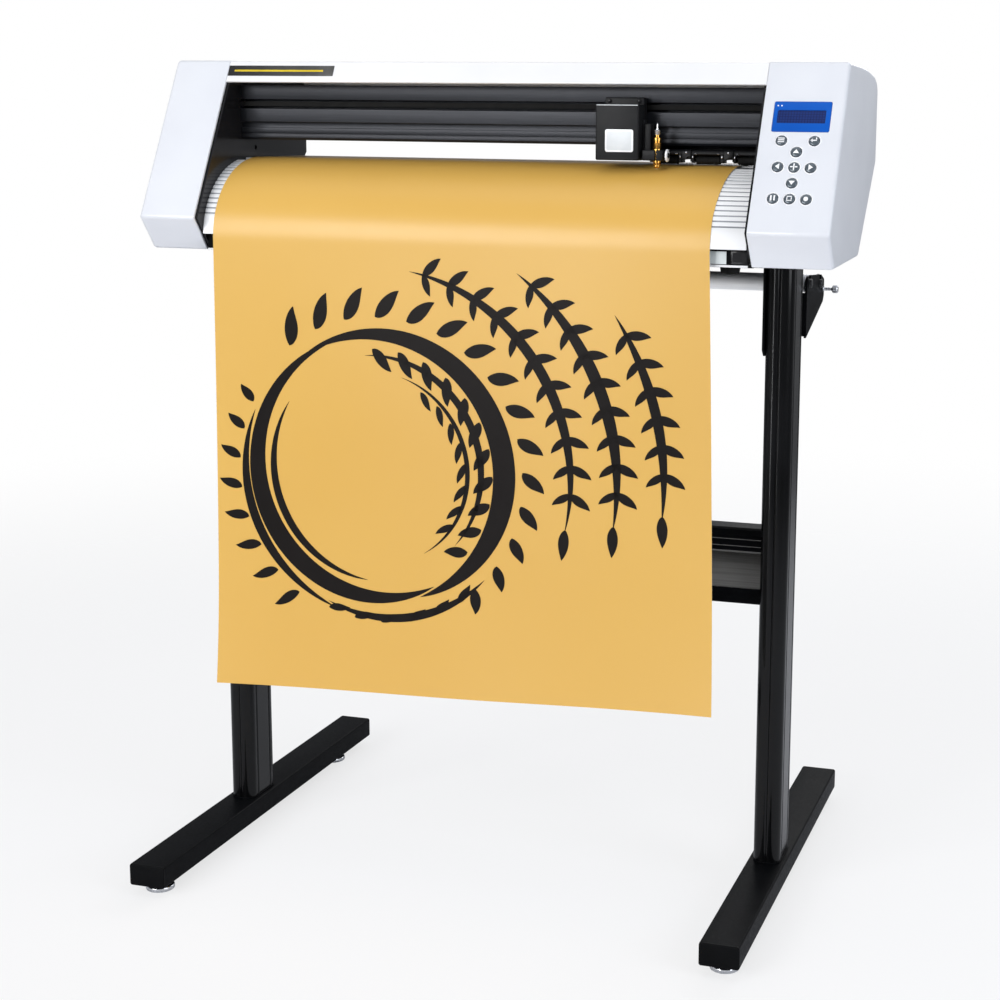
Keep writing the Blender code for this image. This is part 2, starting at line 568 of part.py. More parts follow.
belt_me = flat([stadium(PULLEY_R + GAP + BELT_T), stadium(PULLEY_R + GAP)], BELT_W)
add(belt_me, "carriage_belt", RUBBER, (0, 0, BELT_Z))
BELT_F = BELT_Y - PULLEY_R - GAP - BELT_T                 # outer face of the front run

# ================================================================ CARRIAGE
CX0, CX1 = 141.6, 197.2
body = box("carriage_body", 146.0, 194.5, -90.0, -68.2, 957.0, 1018.0, BLACK_PLASTIC, 1.0, 1)
join(body, box("carriage_back", 145.0, 195.0, -72.0, RAIL_Y - 2.7, 976.5, 1017.0, cutter=True))
join(body, box("carriage_head", 144.6, 195.4, -67.4, RAIL_Y - 2.8, 1008.0, 1031.0, cutter=True))
join(body, box("carriage_tongue", 150.0, 190.0, -56.0, BELT_F + BELT_T + 2.8, 1014.3, 1024.2, cutter=True))
cut(body, box("belt_slot", 100.0, 240.0, BELT_F - GAP, BELT_F + BELT_T + GAP, BELT_Z - BELT_W / 2 - 0.3,
              BELT_Z + BELT_W / 2 + 0.3, cutter=True))
# dovetail bar on the right side that the tool slider runs on
join(body, box("tool_guide", 193.0, 200.2, -80.5, -70.5, 958.0, 1004.0, cutter=True))

cov = box("carriage_cover", CX0, CX1, -98.0, -68.0, 953.6, 1022.4, BLACK_PLASTIC, 1.6, 2)
cut(cov, box("carriage_cover_cavity", CX0 + 2.0, CX1 - 2.0, -96.0, -50.0, 955.6, 1020.4, cutter=True))
cut(cov, box("carriage_cover_notch", CX1 - 8, CX1 + 8, -82.0, -40.0, 957.4, 1004.6, cutter=True))

# tool slider: arm with the split clamp round the blade holder
slider = box("tool_slider", 200.8, 226.5, -94.0, -76.5, 953.8, 967.0, BLACK_PLASTIC, 1.0, 1)
join(slider, box("slider_back", 200.8, 209.5, -84.0, -68.5, 955.5, 999.0, cutter=True))
cut(slider, cyl("holder_bore", "Z", 5.6, 940, 1010, (TOOL_X, TOOL_Y), seg=24, cutter=True))
cut(slider, cyl("knob_bore", "X", 2.0, 224.6, 240, (TOOL_Y, 960.2), seg=12, cutter=True))
turned("tool_clamp_knob", "X",
       [(0, 233.6), (7.0, 233.6), (8.0, 232.4), (8.0, 227.6), (7.2, 227.0), (1.7, 227.0),
        (1.7, 225.2), (0, 225.2)], (TOOL_Y, 960.2), WHITE, 18)
turned("blade_holder", "Z",
       [(1.35, 991.6), (4.6, 991.6), (4.6, 985.6), (2.9, 985.6), (2.9, 982.0), (5.2, 982.0), (5.2, 949.6), (4.2, 948.6),
        (4.2, 946.6), (2.2, 944.4), (1.35, 944.4), (1.35, 991.6)], (TOOL_X, TOOL_Y), BRASS, 18)
# blade with its shank and the ejector pin above, free to swivel in the holder
turned("blade", "Z",
       [(0, 1000.0), (0.95, 999.4), (0.95, 993.2), (2.0, 993.0), (2.0, 992.2), (0.95, 992.0), (0.95, 944.4), (0.2, 942.9), (0, 942.9)],
       (TOOL_X, TOOL_Y), STEEL, 12)

# ================================================================ PINCH ROLLERS
cyl("pinch_shaft", "X", 3.0, HANG_X0 - 2.0, PR1 + 3.0, (PIVOT_Y, PIVOT_Z), STEEL, 20)
PR_R, PR_Y = 5.0, ROLLER_Y
PR_Z = 949.6 + PR_R
ARMS = (("a", 190.4), ("b", 244.2), ("c", 298.0))
for tag, x0 in ARMS:
    x1 = x0 + 52.8
    if tag == "c":
        x1 = min(x1, IN_R - 0.4)
    # hooked block at the left, body along the shaft, lower nose carrying the roller
    side_prof = [(-64.0, 953.0), (-64.0, 966.0), (-60.0, 967.6), (-44.0, 967.6), (-34.0, 966.6), (-34.0, 953.0)]
    arm = extrude_x("pinch_arm_" + tag, side_prof, x0, x0 + 11.4, BLACK_PLASTIC)
    wedge = extrude_x("pinch_wedge_" + tag, [(-70.0, 945.0), (-70.0, 960.6), (-28.0, 960.6), (-28.0, 945.0)], x0 - 0.8, x0 + 11.0, cutter=True)
    for v in wedge.data.vertices:
        if v.co.z > 0.950 and v.co.x < 0.0:
            v.co.z = 0.9546
    cut(arm, wedge)
    join(arm, extrude_x("pinch_body_" + tag, [(-62.0, 961.2), (-60.5, 965.8), (-56.0, 967.2), (-8.0, 967.4), (-4.2, 964.5), (-4.2, 957.5),
                                             (-8.0, 954.6), (-36.0, 956.0), (-45.2, 961.2)], x0 + 11.0, x1, cutter=True))
    for part, xa, xb in (("left", x0 + 11.2, x0 + 14.4), ("right", x1 - 4.0, x1)):
        join(arm, extrude_x("pinch_%s_cheek_%s" % (part, tag),
                            [(-61.0, 951.5), (-61.0, 964.0), (-45.0, 964.0), (-43.0, 956.0), (-43.0, 951.5)], xa, xb, cutter=True))
    cut(arm, cyl("pinch_bore_" + tag, "X", 3.35, x0 - 5, x1 + 5, (PIVOT_Y, PIVOT_Z), seg=16, cutter=True))
    cut(arm, cyl("pinch_axle_hole_" + tag, "X", 1.9, x0 + 10.0, x1 + 5, (PR_Y, PR_Z), seg=16, cutter=True))
    turned("pinch_roller_" + tag, "X",
           [(0, x1 - 1.0), (1.5, x1 - 1.0), (1.5, x1 - 6.0), (PR_R - 0.4, x1 - 6.0), (PR_R, x1 - 6.6), (PR_R, x0 + 17.0),
            (PR_R - 0.4, x0 + 16.2), (1.5, x0 + 16.2), (1.5, x0 + 12.0), (0, x0 + 12.0)], (PR_Y, PR_Z), RUBBER, 16)

# ================================================================ ELECTRONICS
box("mainboard", -446.0, -444.2, -70.0, 60.0, 880.0, 1010.0, GREEN)
psu = box("power_supply", -230.0, -60.0, -60.0, 50.0, 832.4, 876.0, STEEL, 1.5, 1)
inlet = box("power_inlet", 250.0, 278.0, 92.0, 101.6, 852.0, 872.0, BLACK_PLASTIC, 0.8, 1)
cut(inlet, box("inlet_socket", 253.0, 275.0, 95.0, 110.0, 855.0, 869.0, cutter=True))
cut(base, box("inlet_cutout", 249.6, 278.4, 90.0, 112.0, 851.6, 872.4, cutter=True))
cut(base, box("switch_cutout", 293.6, 308.4, 90.0, 112.0, 851.6, 872.4, cutter=True))
sw = extrude_x("power_switch", [(97.0, 854.0), (97.0, 870.0), (103.6, 870.0), (101.4, 862.0), (101.2, 854.0)],
               294.0 + 0.5, 308.0 - 0.5, BLACK_PLASTIC, 0.5, 1)

# ================================================================ MEDIA
sheet_out, sheet_in = [], []
CLR = 0.45
back = [(96.0, 948.0 + CLR), (40.0, 948.0 + CLR), (PL_Y, 948.0 + CLR)]
for k in range(15):
    back.append(ellipse_pt(math.radians(90.0 * (k + 1) / 15), CLR))
back.append((PL_Y - PL_A - CLR, 560.0))
back.append((PL_Y - PL_A - CLR, SHEET_BOTTOM))
front = [(96.0, 948.0 + CLR + SHEET_T), (40.0, 948.0 + CLR + SHEET_T), (PL_Y, 948.0 + CLR + SHEET_T)]
for k in range(15):
    front.append(ellipse_pt(math.radians(90.0 * (k + 1) / 15), CLR + SHEET_T))
front.append((PL_Y - PL_A - CLR - SHEET_T, 560.0))
front.append((PL_Y - PL_A - CLR - SHEET_T, SHEET_BOTTOM))
extrude_x("vinyl_sheet", back + list(reversed(front)), SHEET_X0, SHEET_X1, GOLD)
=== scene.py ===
import math
import random

import bmesh
import bpy
from mathutils import Matrix, Vector


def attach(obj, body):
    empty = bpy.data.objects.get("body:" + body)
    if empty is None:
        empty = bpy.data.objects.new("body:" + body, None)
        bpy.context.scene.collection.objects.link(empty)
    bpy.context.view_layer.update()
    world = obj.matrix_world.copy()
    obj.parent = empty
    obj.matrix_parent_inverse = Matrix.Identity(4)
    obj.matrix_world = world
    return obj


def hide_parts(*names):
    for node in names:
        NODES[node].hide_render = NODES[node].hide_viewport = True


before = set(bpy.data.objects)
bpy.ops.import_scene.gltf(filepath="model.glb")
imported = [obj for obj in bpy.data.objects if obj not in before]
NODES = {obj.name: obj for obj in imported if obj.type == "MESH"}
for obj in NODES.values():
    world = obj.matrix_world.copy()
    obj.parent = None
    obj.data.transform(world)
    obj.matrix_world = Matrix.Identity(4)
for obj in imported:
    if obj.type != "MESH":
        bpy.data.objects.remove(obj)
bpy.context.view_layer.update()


MM = 0.001
scene = bpy.context.scene
rnd = random.Random(7)

# ------------------------------------------------------------------ camera
cam_data = bpy.data.cameras.new("camera")
cam = bpy.data.objects.new("camera", cam_data)
scene.collection.objects.link(cam)
CX = Vector((0.960374, 0.278459, 0.011923))
CU = Vector((-0.058895, 0.160937, 0.985206))
CB = Vector((0.27242, -0.946868, 0.17096))
CP = Vector((0.834246, -2.279196, 0.997022))
cam.matrix_world = Matrix(((CX.x, CU.x, CB.x, CP.x), (CX.y, CU.y, CB.y, CP.y), (CX.z, CU.z, CB.z, CP.z), (0, 0, 0, 1)))
cam_data.sensor_width = 36.0
cam_data.lens = 65.383
cam_data.shift_x = -0.14198
cam_data.shift_y = -0.05969
cam_data.clip_start = 0.05
cam_data.clip_end = 100.0
scene.camera = cam

scene.view_settings.view_transform = "Standard"
scene.view_settings.look = "None"


# ------------------------------------------------------------------ materials
def lin(r, g, b):
    def f(c):
        c /= 255.0
        return c / 12.92 if c <= 0.04045 else ((c + 0.055) / 1.055) ** 2.4
    return (f(r), f(g), f(b), 1.0)


MATS = {}


class Mat:
    """Node material built from one Principled shader and object-space patterns."""

    def __init__(self, name, rough=0.4, metal=0.0, **sockets):
        self.m = bpy.data.materials.new(name)
        self.m.use_nodes = True
        self.t = self.m.node_tree
        self.b = next(n for n in self.t.nodes if n.type == "BSDF_PRINCIPLED")
        self.b.inputs["Roughness"].default_value = rough
        self.b.inputs["Metallic"].default_value = metal
        for k, v in sockets.items():
            self.b.inputs[k.replace("_", " ")].default_value = v
        self.tc = self.t.nodes.new("ShaderNodeTexCoord")
        MATS[name] = self.m
        self.height = None

    def node(self, kind, **props):
        n = self.t.nodes.new(kind)
        for k, v in props.items():
            setattr(n, k, v)
        return n

    def link(self, a, b):
        self.t.links.new(a, b)

    def coords(self, scale=(1, 1, 1), rot=(0, 0, 0)):
        mp = self.node("ShaderNodeMapping")
        mp.inputs["Scale"].default_value = scale
        mp.inputs["Rotation"].default_value = rot
        self.link(self.tc.outputs["Object"], mp.inputs["Vector"])
        return mp.outputs["Vector"]

    def noise(self, scale, detail=3.0, rough=0.55, stretch=(1, 1, 1), dist=0.0):
        n = self.node("ShaderNodeTexNoise")
        n.inputs["Scale"].default_value = scale
        n.inputs["Detail"].default_value = detail
        n.inputs["Roughness"].default_value = rough
        n.inputs["Distortion"].default_value = dist
        self.link(self.coords(stretch), n.inputs["Vector"])
        return n.outputs["Fac"]

    def voronoi(self, scale, stretch=(1, 1, 1), feature="F1"):
        n = self.node("ShaderNodeTexVoronoi", feature=feature)
        n.inputs["Scale"].default_value = scale
        self.link(self.coords(stretch), n.inputs["Vector"])
        return n.outputs["Distance"]

    def ramp(self, src, stops):
        r = self.node("ShaderNodeValToRGB")
        els = r.color_ramp.elements
        while len(els) < len(stops):
            els.new(0.5)
        for e, (p, c) in zip(els, stops):
            e.position = p
            e.color = c if len(c) == 4 else (c[0], c[1], c[2], 1.0)
        self.link(src, r.inputs["Fac"])
        return r.outputs["Color"]

    def mapr(self, src, a, b, lo=0.0, hi=1.0):
        r = self.node("ShaderNodeMapRange")
        r.inputs["From Min"].default_value = lo
        r.inputs["From Max"].default_value = hi
        r.inputs["To Min"].default_value = a
        r.inputs["To Max"].default_value = b
        self.link(src, r.inputs["Value"])
        return r.outputs["Result"]

    def math(self, op, a, b=None):
        n = self.node("ShaderNodeMath", operation=op)
        for i, v in enumerate((a, b)):
            if v is None:
                continue
            if isinstance(v, (int, float)):
                n.inputs[i].default_value = v
            else:
                self.link(v, n.inputs[i])
        return n.outputs["Value"]

    def mix(self, fac, a, b, kind="MIX"):
        n = self.node("ShaderNodeMix", data_type="RGBA", blend_type=kind)
        for sock, v in ((n.inputs[0], fac), (n.inputs[6], a), (n.inputs[7], b)):
            if isinstance(v, (int, float)):
                sock.default_value = v
            elif isinstance(v, (tuple, list)):
                sock.default_value = v if len(v) == 4 else (v[0], v[1], v[2], 1.0)
            else:
                self.link(v, sock)
        return n.outputs[2]

    def color(self, src):
        if isinstance(src, (tuple, list)):
            self.b.inputs["Base Color"].default_value = src
        else:
            self.link(src, self.b.inputs["Base Color"])

    def rough(self, src, a, b):
        self.link(self.mapr(src, a, b), self.b.inputs["Roughness"])

    def bump(self, src, strength, dist):
        n = self.node("ShaderNodeBump")
        n.inputs["Strength"].default_value = strength
        n.inputs["Distance"].default_value = dist
        self.link(src, n.inputs["Height"])
        if self.height is not None:
            self.link(self.height, n.inputs["Normal"])
        self.height = n.outputs["Normal"]
        self.link(self.height, self.b.inputs["Normal"])

    def sep(self):
        s = self.node("ShaderNodeSeparateXYZ")
        self.link(self.tc.outputs["Object"], s.inputs["Vector"])
        return s.outputs

    def edge_wear(self, amount=0.5):
        """0..1 mask from the mesh's own convexity, for light wear on edges; no material here uses it."""
        g = self.node("ShaderNodeNewGeometry")
        return self.mapr(g.outputs["Pointiness"], 0.0, amount, 0.52, 0.60)


# moulded ABS of the covers: fine leather-free spark texture, faint tone drift
m = Mat("abs_white", rough=0.30, Coat_Weight=0.12, Coat_Roughness=0.15)
n1 = m.noise(9.0, 2.0)
n2 = m.noise(2600.0, 2.0, 0.6)
m.color(m.ramp(n1, [(0.25, lin(213, 216, 223)), (0.8, lin(221, 224, 230))]))
m.rough(m.noise(60.0, 4.0), 0.26, 0.36)
m.bump(n2, 0.10, 0.00012)
m.bump(m.noise(38.0, 2.0), 0.05, 0.0006)

m = Mat("sheet_white", rough=0.32, Coat_Weight=0.2, Coat_Roughness=0.2)
m.color(m.ramp(m.noise(7.0, 2.0), [(0.3, lin(229, 230, 232)), (0.8, lin(237, 237, 239))]))
m.rough(m.noise(90.0, 4.0), 0.28, 0.40)
m.bump(m.noise(900.0, 2.0), 0.12, 0.00015)

m = Mat("platen_white", rough=0.34, metal=0.0, Coat_Weight=0.25, Coat_Roughness=0.18)
m.color(m.ramp(m.noise(16.0, 3.0, 0.6, (0.2, 1, 1)), [(0.3, lin(226, 228, 231)), (0.8, lin(240, 241, 243))]))
m.rough(m.noise(120.0, 3.0, 0.6, (0.03, 1, 1)), 0.28, 0.42)
m.bump(m.noise(700.0, 3.0, 0.6, (0.02, 1, 1)), 0.15, 0.0002)

# darker grey for the bottoms of the platen's rib grooves: painted shade in the grooves
m = Mat("platen_groove_painted_shade", rough=0.5)
m.color(m.ramp(m.noise(60.0, 3.0, 0.6, (0.1, 1, 1)), [(0.3, lin(120, 124, 130)), (0.8, lin(156, 160, 166))]))
m.rough(m.noise(120.0, 3.0), 0.4, 0.6)

# lighter satin grey for the crossbar's up-and-forward web, the down-facing edge under its upper member and two thin
# strips: painted light and painted highlights on the black powder coat
m = Mat("panel_satin", rough=0.45, metal=0.3, Specular_IOR_Level=0.4)
st = m.noise(700.0, 4.0, 0.65, (0.012, 1, 1))
m.color(m.ramp(st, [(0.25, (0.130, 0.127, 0.122, 1)), (0.75, (0.230, 0.226, 0.218, 1))]))
m.rough(st, 0.36, 0.56)
m.bump(st, 0.2, 0.0002)

# gloss enamel of the stand
m = Mat("enamel_black", rough=0.24, Coat_Weight=0.36, Coat_Roughness=0.10, Specular_IOR_Level=0.05)
m.color(m.ramp(m.noise(20.0, 3.0), [(0.3, (0.0016, 0.0017, 0.0020, 1)), (0.8, (0.0028, 0.0029, 0.0034, 1))]))
m.rough(m.noise(150.0, 4.0), 0.16, 0.30)
m.bump(m.noise(420.0, 2.0), 0.10, 0.0003)
m.bump(m.noise(45.0, 2.0), 0.05, 0.0008)

# textured powder coat of foot bars and crossbar
m = Mat("powder_black", rough=0.42, Specular_IOR_Level=0.03)
m.color(m.ramp(m.noise(30.0, 4.0), [(0.3, (0.0022, 0.0024, 0.0030, 1)), (0.8, (0.0038, 0.0042, 0.0050, 1))]))
m.rough(m.noise(260.0, 4.0), 0.30, 0.52)
m.bump(m.noise(1500.0, 3.0, 0.65), 0.35, 0.0003)

m = Mat("cap_black", rough=0.5, Specular_IOR_Level=0.06)
m.color(m.ramp(m.noise(30.0, 3.0), [(0.3, (0.0024, 0.0026, 0.0030, 1)), (0.8, (0.0040, 0.0043, 0.0050, 1))]))
m.rough(m.noise(160.0, 4.0), 0.40, 0.60)
m.bump(m.noise(2400.0, 2.0, 0.6), 0.2, 0.0002)

# black anodised extrusion: drawn lines along X
m = Mat("anodised_black", rough=0.34, metal=0.40, Specular_IOR_Level=0.25)
st = m.noise(1900.0, 4.0, 0.7, (0.004, 1, 1))
m.color(m.ramp(st, [(0.25, (0.012, 0.0132, 0.0165, 1)), (0.75, (0.026, 0.0280, 0.034, 1))]))
m.rough(m.noise(1400.0, 3.0, 0.6, (0.004, 1, 1)), 0.24, 0.44)
m.bump(st, 0.22, 0.0002)

# moulded black of the carriage
m = Mat("abs_black", rough=0.42, Specular_IOR_Level=0.16)
m.color(m.ramp(m.noise(24.0, 3.0), [(0.3, (0.0070, 0.0074, 0.0084, 1)), (0.8, (0.0115, 0.0120, 0.0135, 1))]))
m.rough(m.noise(120.0, 4.0), 0.36, 0.52)
m.bump(m.noise(2600.0, 2.0, 0.6), 0.25, 0.0002)

m = Mat("glossy_black", rough=0.18, Specular_IOR_Level=0.3)
m.color(m.ramp(m.noise(24.0, 3.0), [(0.3, (0.008, 0.008, 0.009, 1)), (0.8, (0.013, 0.013, 0.015, 1))]))
m.rough(m.noise(200.0, 4.0), 0.12, 0.26)

# rubber
m = Mat("rubber_black", rough=0.75, Specular_IOR_Level=0.12)
m.color(m.ramp(m.noise(80.0, 4.0), [(0.3, (0.007, 0.007, 0.007, 1)), (0.8, (0.012, 0.012, 0.012, 1))]))
m.rough(m.noise(300.0, 4.0), 0.62, 0.85)
m.bump(m.noise(1200.0, 3.0), 0.3, 0.0003)

# satin silver tube, drawn along X
m = Mat("aluminium_satin", rough=0.34, metal=0.15)
st = m.noise(1500.0, 4.0, 0.7, (0.006, 1, 1))
m.color(m.ramp(st, [(0.25, lin(228, 229, 232)), (0.75, lin(246, 247, 249))]))
m.rough(st, 0.26, 0.42)
m.bump(st, 0.12, 0.0002)

m = Mat("steel_bright", rough=0.25, metal=1.0)
st = m.noise(900.0, 4.0, 0.6, (1, 0.05, 0.05))
m.color(m.ramp(st, [(0.25, lin(168, 170, 176)), (0.75, lin(205, 207, 212))]))
m.rough(st, 0.18, 0.34)
m.bump(st, 0.10, 0.0002)

m = Mat("knurled_steel", rough=0.4, metal=1.0)
w = m.voronoi(1400.0)
m.color(m.ramp(w, [(0.0, lin(80, 82, 86)), (0.6, lin(176, 178, 184))]))
m.rough(w, 0.3, 0.6)
m.bump(w, 0.9, 0.0003)

m = Mat("chrome", rough=0.07, metal=1.0)
m.color(m.ramp(m.noise(30.0), [(0.3, lin(214, 216, 220)), (0.8, lin(232, 233, 236))]))
m.rough(m.noise(400.0, 3.0), 0.05, 0.14)

m = Mat("brass", rough=0.2, metal=1.0)
st = m.noise(1800.0, 3.0, 0.6, (0.3, 0.3, 3.0))
m.color(m.ramp(st, [(0.25, lin(196, 140, 58)), (0.75, lin(232, 184, 98))]))
m.rough(st, 0.14, 0.30)
m.bump(st, 0.15, 0.0001)

# keypad buttons: warm metallic grey lacquer
m = Mat("button_grey", rough=0.30, metal=0.35, Coat_Weight=0.4, Coat_Roughness=0.1)
m.color(m.ramp(m.noise(700.0, 2.0), [(0.3, lin(70, 80, 88)), (0.8, lin(98, 108, 116))]))
m.rough(m.noise(500.0, 3.0), 0.24, 0.38)
m.bump(m.noise(3000.0, 2.0), 0.1, 0.0001)

m = Mat("icon_white", rough=0.4)
m.color(m.ramp(m.noise(400.0), [(0.3, lin(236, 238, 241)), (0.8, lin(250, 250, 251))]))

m = Mat("ring_white", rough=0.25, Coat_Weight=0.4, Coat_Roughness=0.08)
m.color(m.ramp(m.noise(60.0), [(0.3, lin(238, 240, 244)), (0.8, lin(248, 249, 251))]))

m = Mat("bezel_blue", rough=0.35, Coat_Weight=0.05, Coat_Roughness=0.1, Specular_IOR_Level=0.15)
m.color(m.ramp(m.noise(14.0, 2.0), [(0.3, lin(0, 76, 170)), (0.8, lin(4, 88, 188))]))
m.rough(m.noise(300.0, 3.0), 0.30, 0.42)
m.bump(m.noise(1800.0, 2.0), 0.06, 0.0001)

# display glass: dark blue with a faint cell grid below the surface
m = Mat("lcd_glass", rough=0.2, Coat_Weight=0.1, Coat_Roughness=0.05, Specular_IOR_Level=0.2)
s = m.sep()
gx = m.math("PINGPONG", m.math("MULTIPLY", s[0], 290.0), 0.5)
gz = m.math("PINGPONG", m.math("MULTIPLY", s[2], 330.0), 0.5)
cell = m.math("MULTIPLY", m.math("GREATER_THAN", gx, 0.09), m.math("GREATER_THAN", gz, 0.09))
m.color(m.mix(cell, lin(10, 20, 52), m.ramp(m.noise(30.0), [(0.3, lin(16, 34, 84)), (0.8, lin(24, 48, 112))])))
m.b.inputs["Emission Color"].default_value = lin(30, 60, 150)
m.b.inputs["Emission Strength"].default_value = 0.10

m = Mat("pcb_green", rough=0.35, Coat_Weight=0.3)
v = m.voronoi(260.0, (1, 1, 1), "DISTANCE_TO_EDGE")
m.color(m.mix(m.math("LESS_THAN", v, 0.04), lin(18, 92, 44), lin(60, 140, 70)))
m.rough(m.noise(90.0), 0.3, 0.5)

m = Mat("label_plain", rough=0.45)
m.color(m.ramp(m.noise(40.0, 3.0), [(0.3, lin(196, 205, 206)), (0.8, lin(224, 230, 230))]))
m.rough(m.noise(200.0), 0.35, 0.55)

m = Mat("label_dark", rough=0.3, Coat_Weight=0.3)
s = m.sep()
grad = m.mapr(s[0], 0.0, 1.0, -0.374, -0.222)
m.color(m.mix(m.math("MULTIPLY", grad, 1.0), lin(14, 14, 13), m.ramp(m.noise(60.0), [(0.3, lin(70, 70, 68)), (0.8, lin(92, 92, 90))])))
m.rough(m.noise(160.0), 0.24, 0.36)

m = Mat("label_band", rough=0.3, Coat_Weight=0.3)
m.color(m.ramp(m.noise(60.0), [(0.3, lin(206, 178, 20)), (0.8, lin(226, 198, 34))]))

m = Mat("panel_grey", rough=0.35)
m.color(m.ramp(m.noise(30.0), [(0.3, lin(206, 212, 216)), (0.8, lin(222, 226, 229))]))
m.rough(m.noise(200.0), 0.28, 0.45)

m = Mat("motor_black", rough=0.4, metal=0.4)
m.color(m.ramp(m.noise(40.0), [(0.3, (0.01, 0.01, 0.011, 1)), (0.8, (0.02, 0.02, 0.022, 1))]))
m.rough(m.noise(300.0), 0.3, 0.5)

# gold self-adhesive film and its paper liner
m = Mat("vinyl_gold", rough=0.40, metal=0.0, Coat_Weight=0.22, Coat_Roughness=0.30, Specular_IOR_Level=0.35)
n1 = m.noise(2.2, 2.0, 0.5)
m.color(m.ramp(n1, [(0.25, lin(210, 165, 78)), (0.75, lin(216, 173, 86))]))
m.rough(m.noise(26.0, 4.0), 0.30, 0.40)
m.bump(m.noise(1700.0, 2.0, 0.5), 0.06, 0.00012)
m.bump(m.noise(5.0, 2.0, 0.5, (1, 1, 0.35)), 0.25, 0.0035)

m = Mat("liner_paper", rough=0.7)
m.color(m.ramp(m.noise(9.0, 4.0), [(0.3, lin(232, 231, 225)), (0.8, lin(238, 237, 232))]))
m.rough(m.noise(90.0), 0.6, 0.8)
m.bump(m.noise(1500.0, 3.0), 0.12, 0.0002)

m = Mat("vinyl_black", rough=0.38, Specular_IOR_Level=0.12)
m.color(m.ramp(m.noise(20.0, 3.0), [(0.3, (0.0062, 0.0046, 0.0042, 1)), (0.8, (0.0086, 0.0066, 0.0060, 1))]))
m.rough(m.noise(60.0, 3.0), 0.32, 0.46)
m.bump(m.noise(1500.0, 2.0), 0.05, 0.0001)


# ------------------------------------------------------------------ mesh helpers (millimetres)
def obj_from_bm(bm, name, mats, smooth=38.0, wn=False):
    bmesh.ops.recalc_face_normals(bm, faces=bm.faces)
    me = bpy.data.meshes.new(name)
    bm.to_mesh(me)
    bm.free()
    me.transform(Matrix.Scale(MM, 4))
    ob = bpy.data.objects.new(name, me)
    scene.collection.objects.link(ob)
    for k in ([mats] if isinstance(mats, str) else mats or []):
        me.materials.append(MATS[k])
    if smooth:
        me.shade_smooth()
        me.set_sharp_from_angle(angle=math.radians(smooth))
    return ob


def prism(prof, a, b, axis="X", bm=None):
    """Closed outline run along an axis. X: prof is (y, z); Y: (x, z); Z: (x, y)."""
    bm = bm or bmesh.new()

    def P(p, t):
        return {"X": (t, p[0], p[1]), "Y": (p[0], t, p[1]), "Z": (p[0], p[1], t)}[axis]
    va = [bm.verts.new(P(p, a)) for p in prof]
    vb = [bm.verts.new(P(p, b)) for p in prof]
    n = len(prof)
    bm.faces.new(va)
    bm.faces.new(list(reversed(vb)))
    for i in range(n):
        j = (i + 1) % n
        bm.faces.new((va[i], vb[i], vb[j], va[j]))
    return bm


def cuboid(x0, x1, y0, y1, z0, z1, bm=None):
    return prism([(y0, z0), (y1, z0), (y1, z1), (y0, z1)], x0, x1, "X", bm)


def bev(bm, w, seg=3, angle=30.0, pick=None):
    bmesh.ops.recalc_face_normals(bm, faces=bm.faces)
    bm.normal_update()
    es = []
    for e in bm.edges:
        if len(e.link_faces) != 2:
            continue
        if e.calc_face_angle(0.0) > math.radians(angle) and (pick is None or pick(e)):
            es.append(e)
    if es:
        bmesh.ops.bevel(bm, geom=es, offset=w, segments=seg, profile=0.5, affect="EDGES", clamp_overlap=True)
    return bm


def rbox(name, x0, x1, y0, y1, z0, z1, r, mat, seg=3, smooth=38.0):
    return obj_from_bm(bev(cuboid(x0, x1, y0, y1, z0, z1), r, seg), name, mat, smooth)


def lathe(prof, axis, c, seg=48, bm=None, closed=False, a0=0.0):
    """Turned form. prof is (radius, height); radius 0 ends are closed to a point."""
    bm = bm or bmesh.new()

    def P(r, h, a):
        u, v = r * math.cos(a), r * math.sin(a)
        return {"X": (h, c[0] + u, c[1] + v), "Y": (c[0] + u, h, c[1] + v), "Z": (c[0] + u, c[1] + v, h)}[axis]
    rings = []
    for r, h in prof:
        if r <= 1e-6:
            rings.append([bm.verts.new(P(0, h, 0))])
        else:
            rings.append([bm.verts.new(P(r, h, a0 + math.tau * k / seg)) for k in range(seg)])
    pairs = list(zip(rings, rings[1:]))
    if closed:
        pairs.append((rings[-1], rings[0]))
    for A, B in pairs:
        for k in range(seg):
            j = (k + 1) % seg
            if len(A) == 1 and len(B) == 1:
                continue
            if len(A) == 1:
                bm.faces.new((A[0], B[k], B[j]))
            elif len(B) == 1:
                bm.faces.new((A[k], B[0], A[j]))
            else:
                bm.faces.new((A[k], B[k], B[j], A[j]))
    return bm


def lathe_obj(name, prof, axis, c, mat, seg=48, closed=False, smooth=38.0):
    return obj_from_bm(lathe(prof, axis, c, seg, closed=closed), name, mat, smooth)


def sweep(path, r, seg=10, bm=None, cap=True):
    """Round tube of radius r along a list of points (mm)."""
    bm = bm or bmesh.new()
    pts = [Vector(p) for p in path]
    rings = []
    up = Vector((0.13, 0.07, 1.0)).normalized()
    for i, p in enumerate(pts):
        t = (pts[min(i + 1, len(pts) - 1)] - pts[max(i - 1, 0)]).normalized()
        u = (up - t * up.dot(t))
        if u.length < 1e-4:
            u = Vector((1, 0, 0)) - t * t.x
        u.normalize()
        up = u
        v = t.cross(u)
        rings.append([bm.verts.new(p + (u * math.cos(a) + v * math.sin(a)) * r)
                      for a in (math.tau * k / seg for k in range(seg))])
    for A, B in zip(rings, rings[1:]):
        for k in range(seg):
            j = (k + 1) % seg
            bm.faces.new((A[k], B[k], B[j], A[j]))
    if cap:
        bm.faces.new(rings[0])
        bm.faces.new(list(reversed(rings[-1])))
    return bm


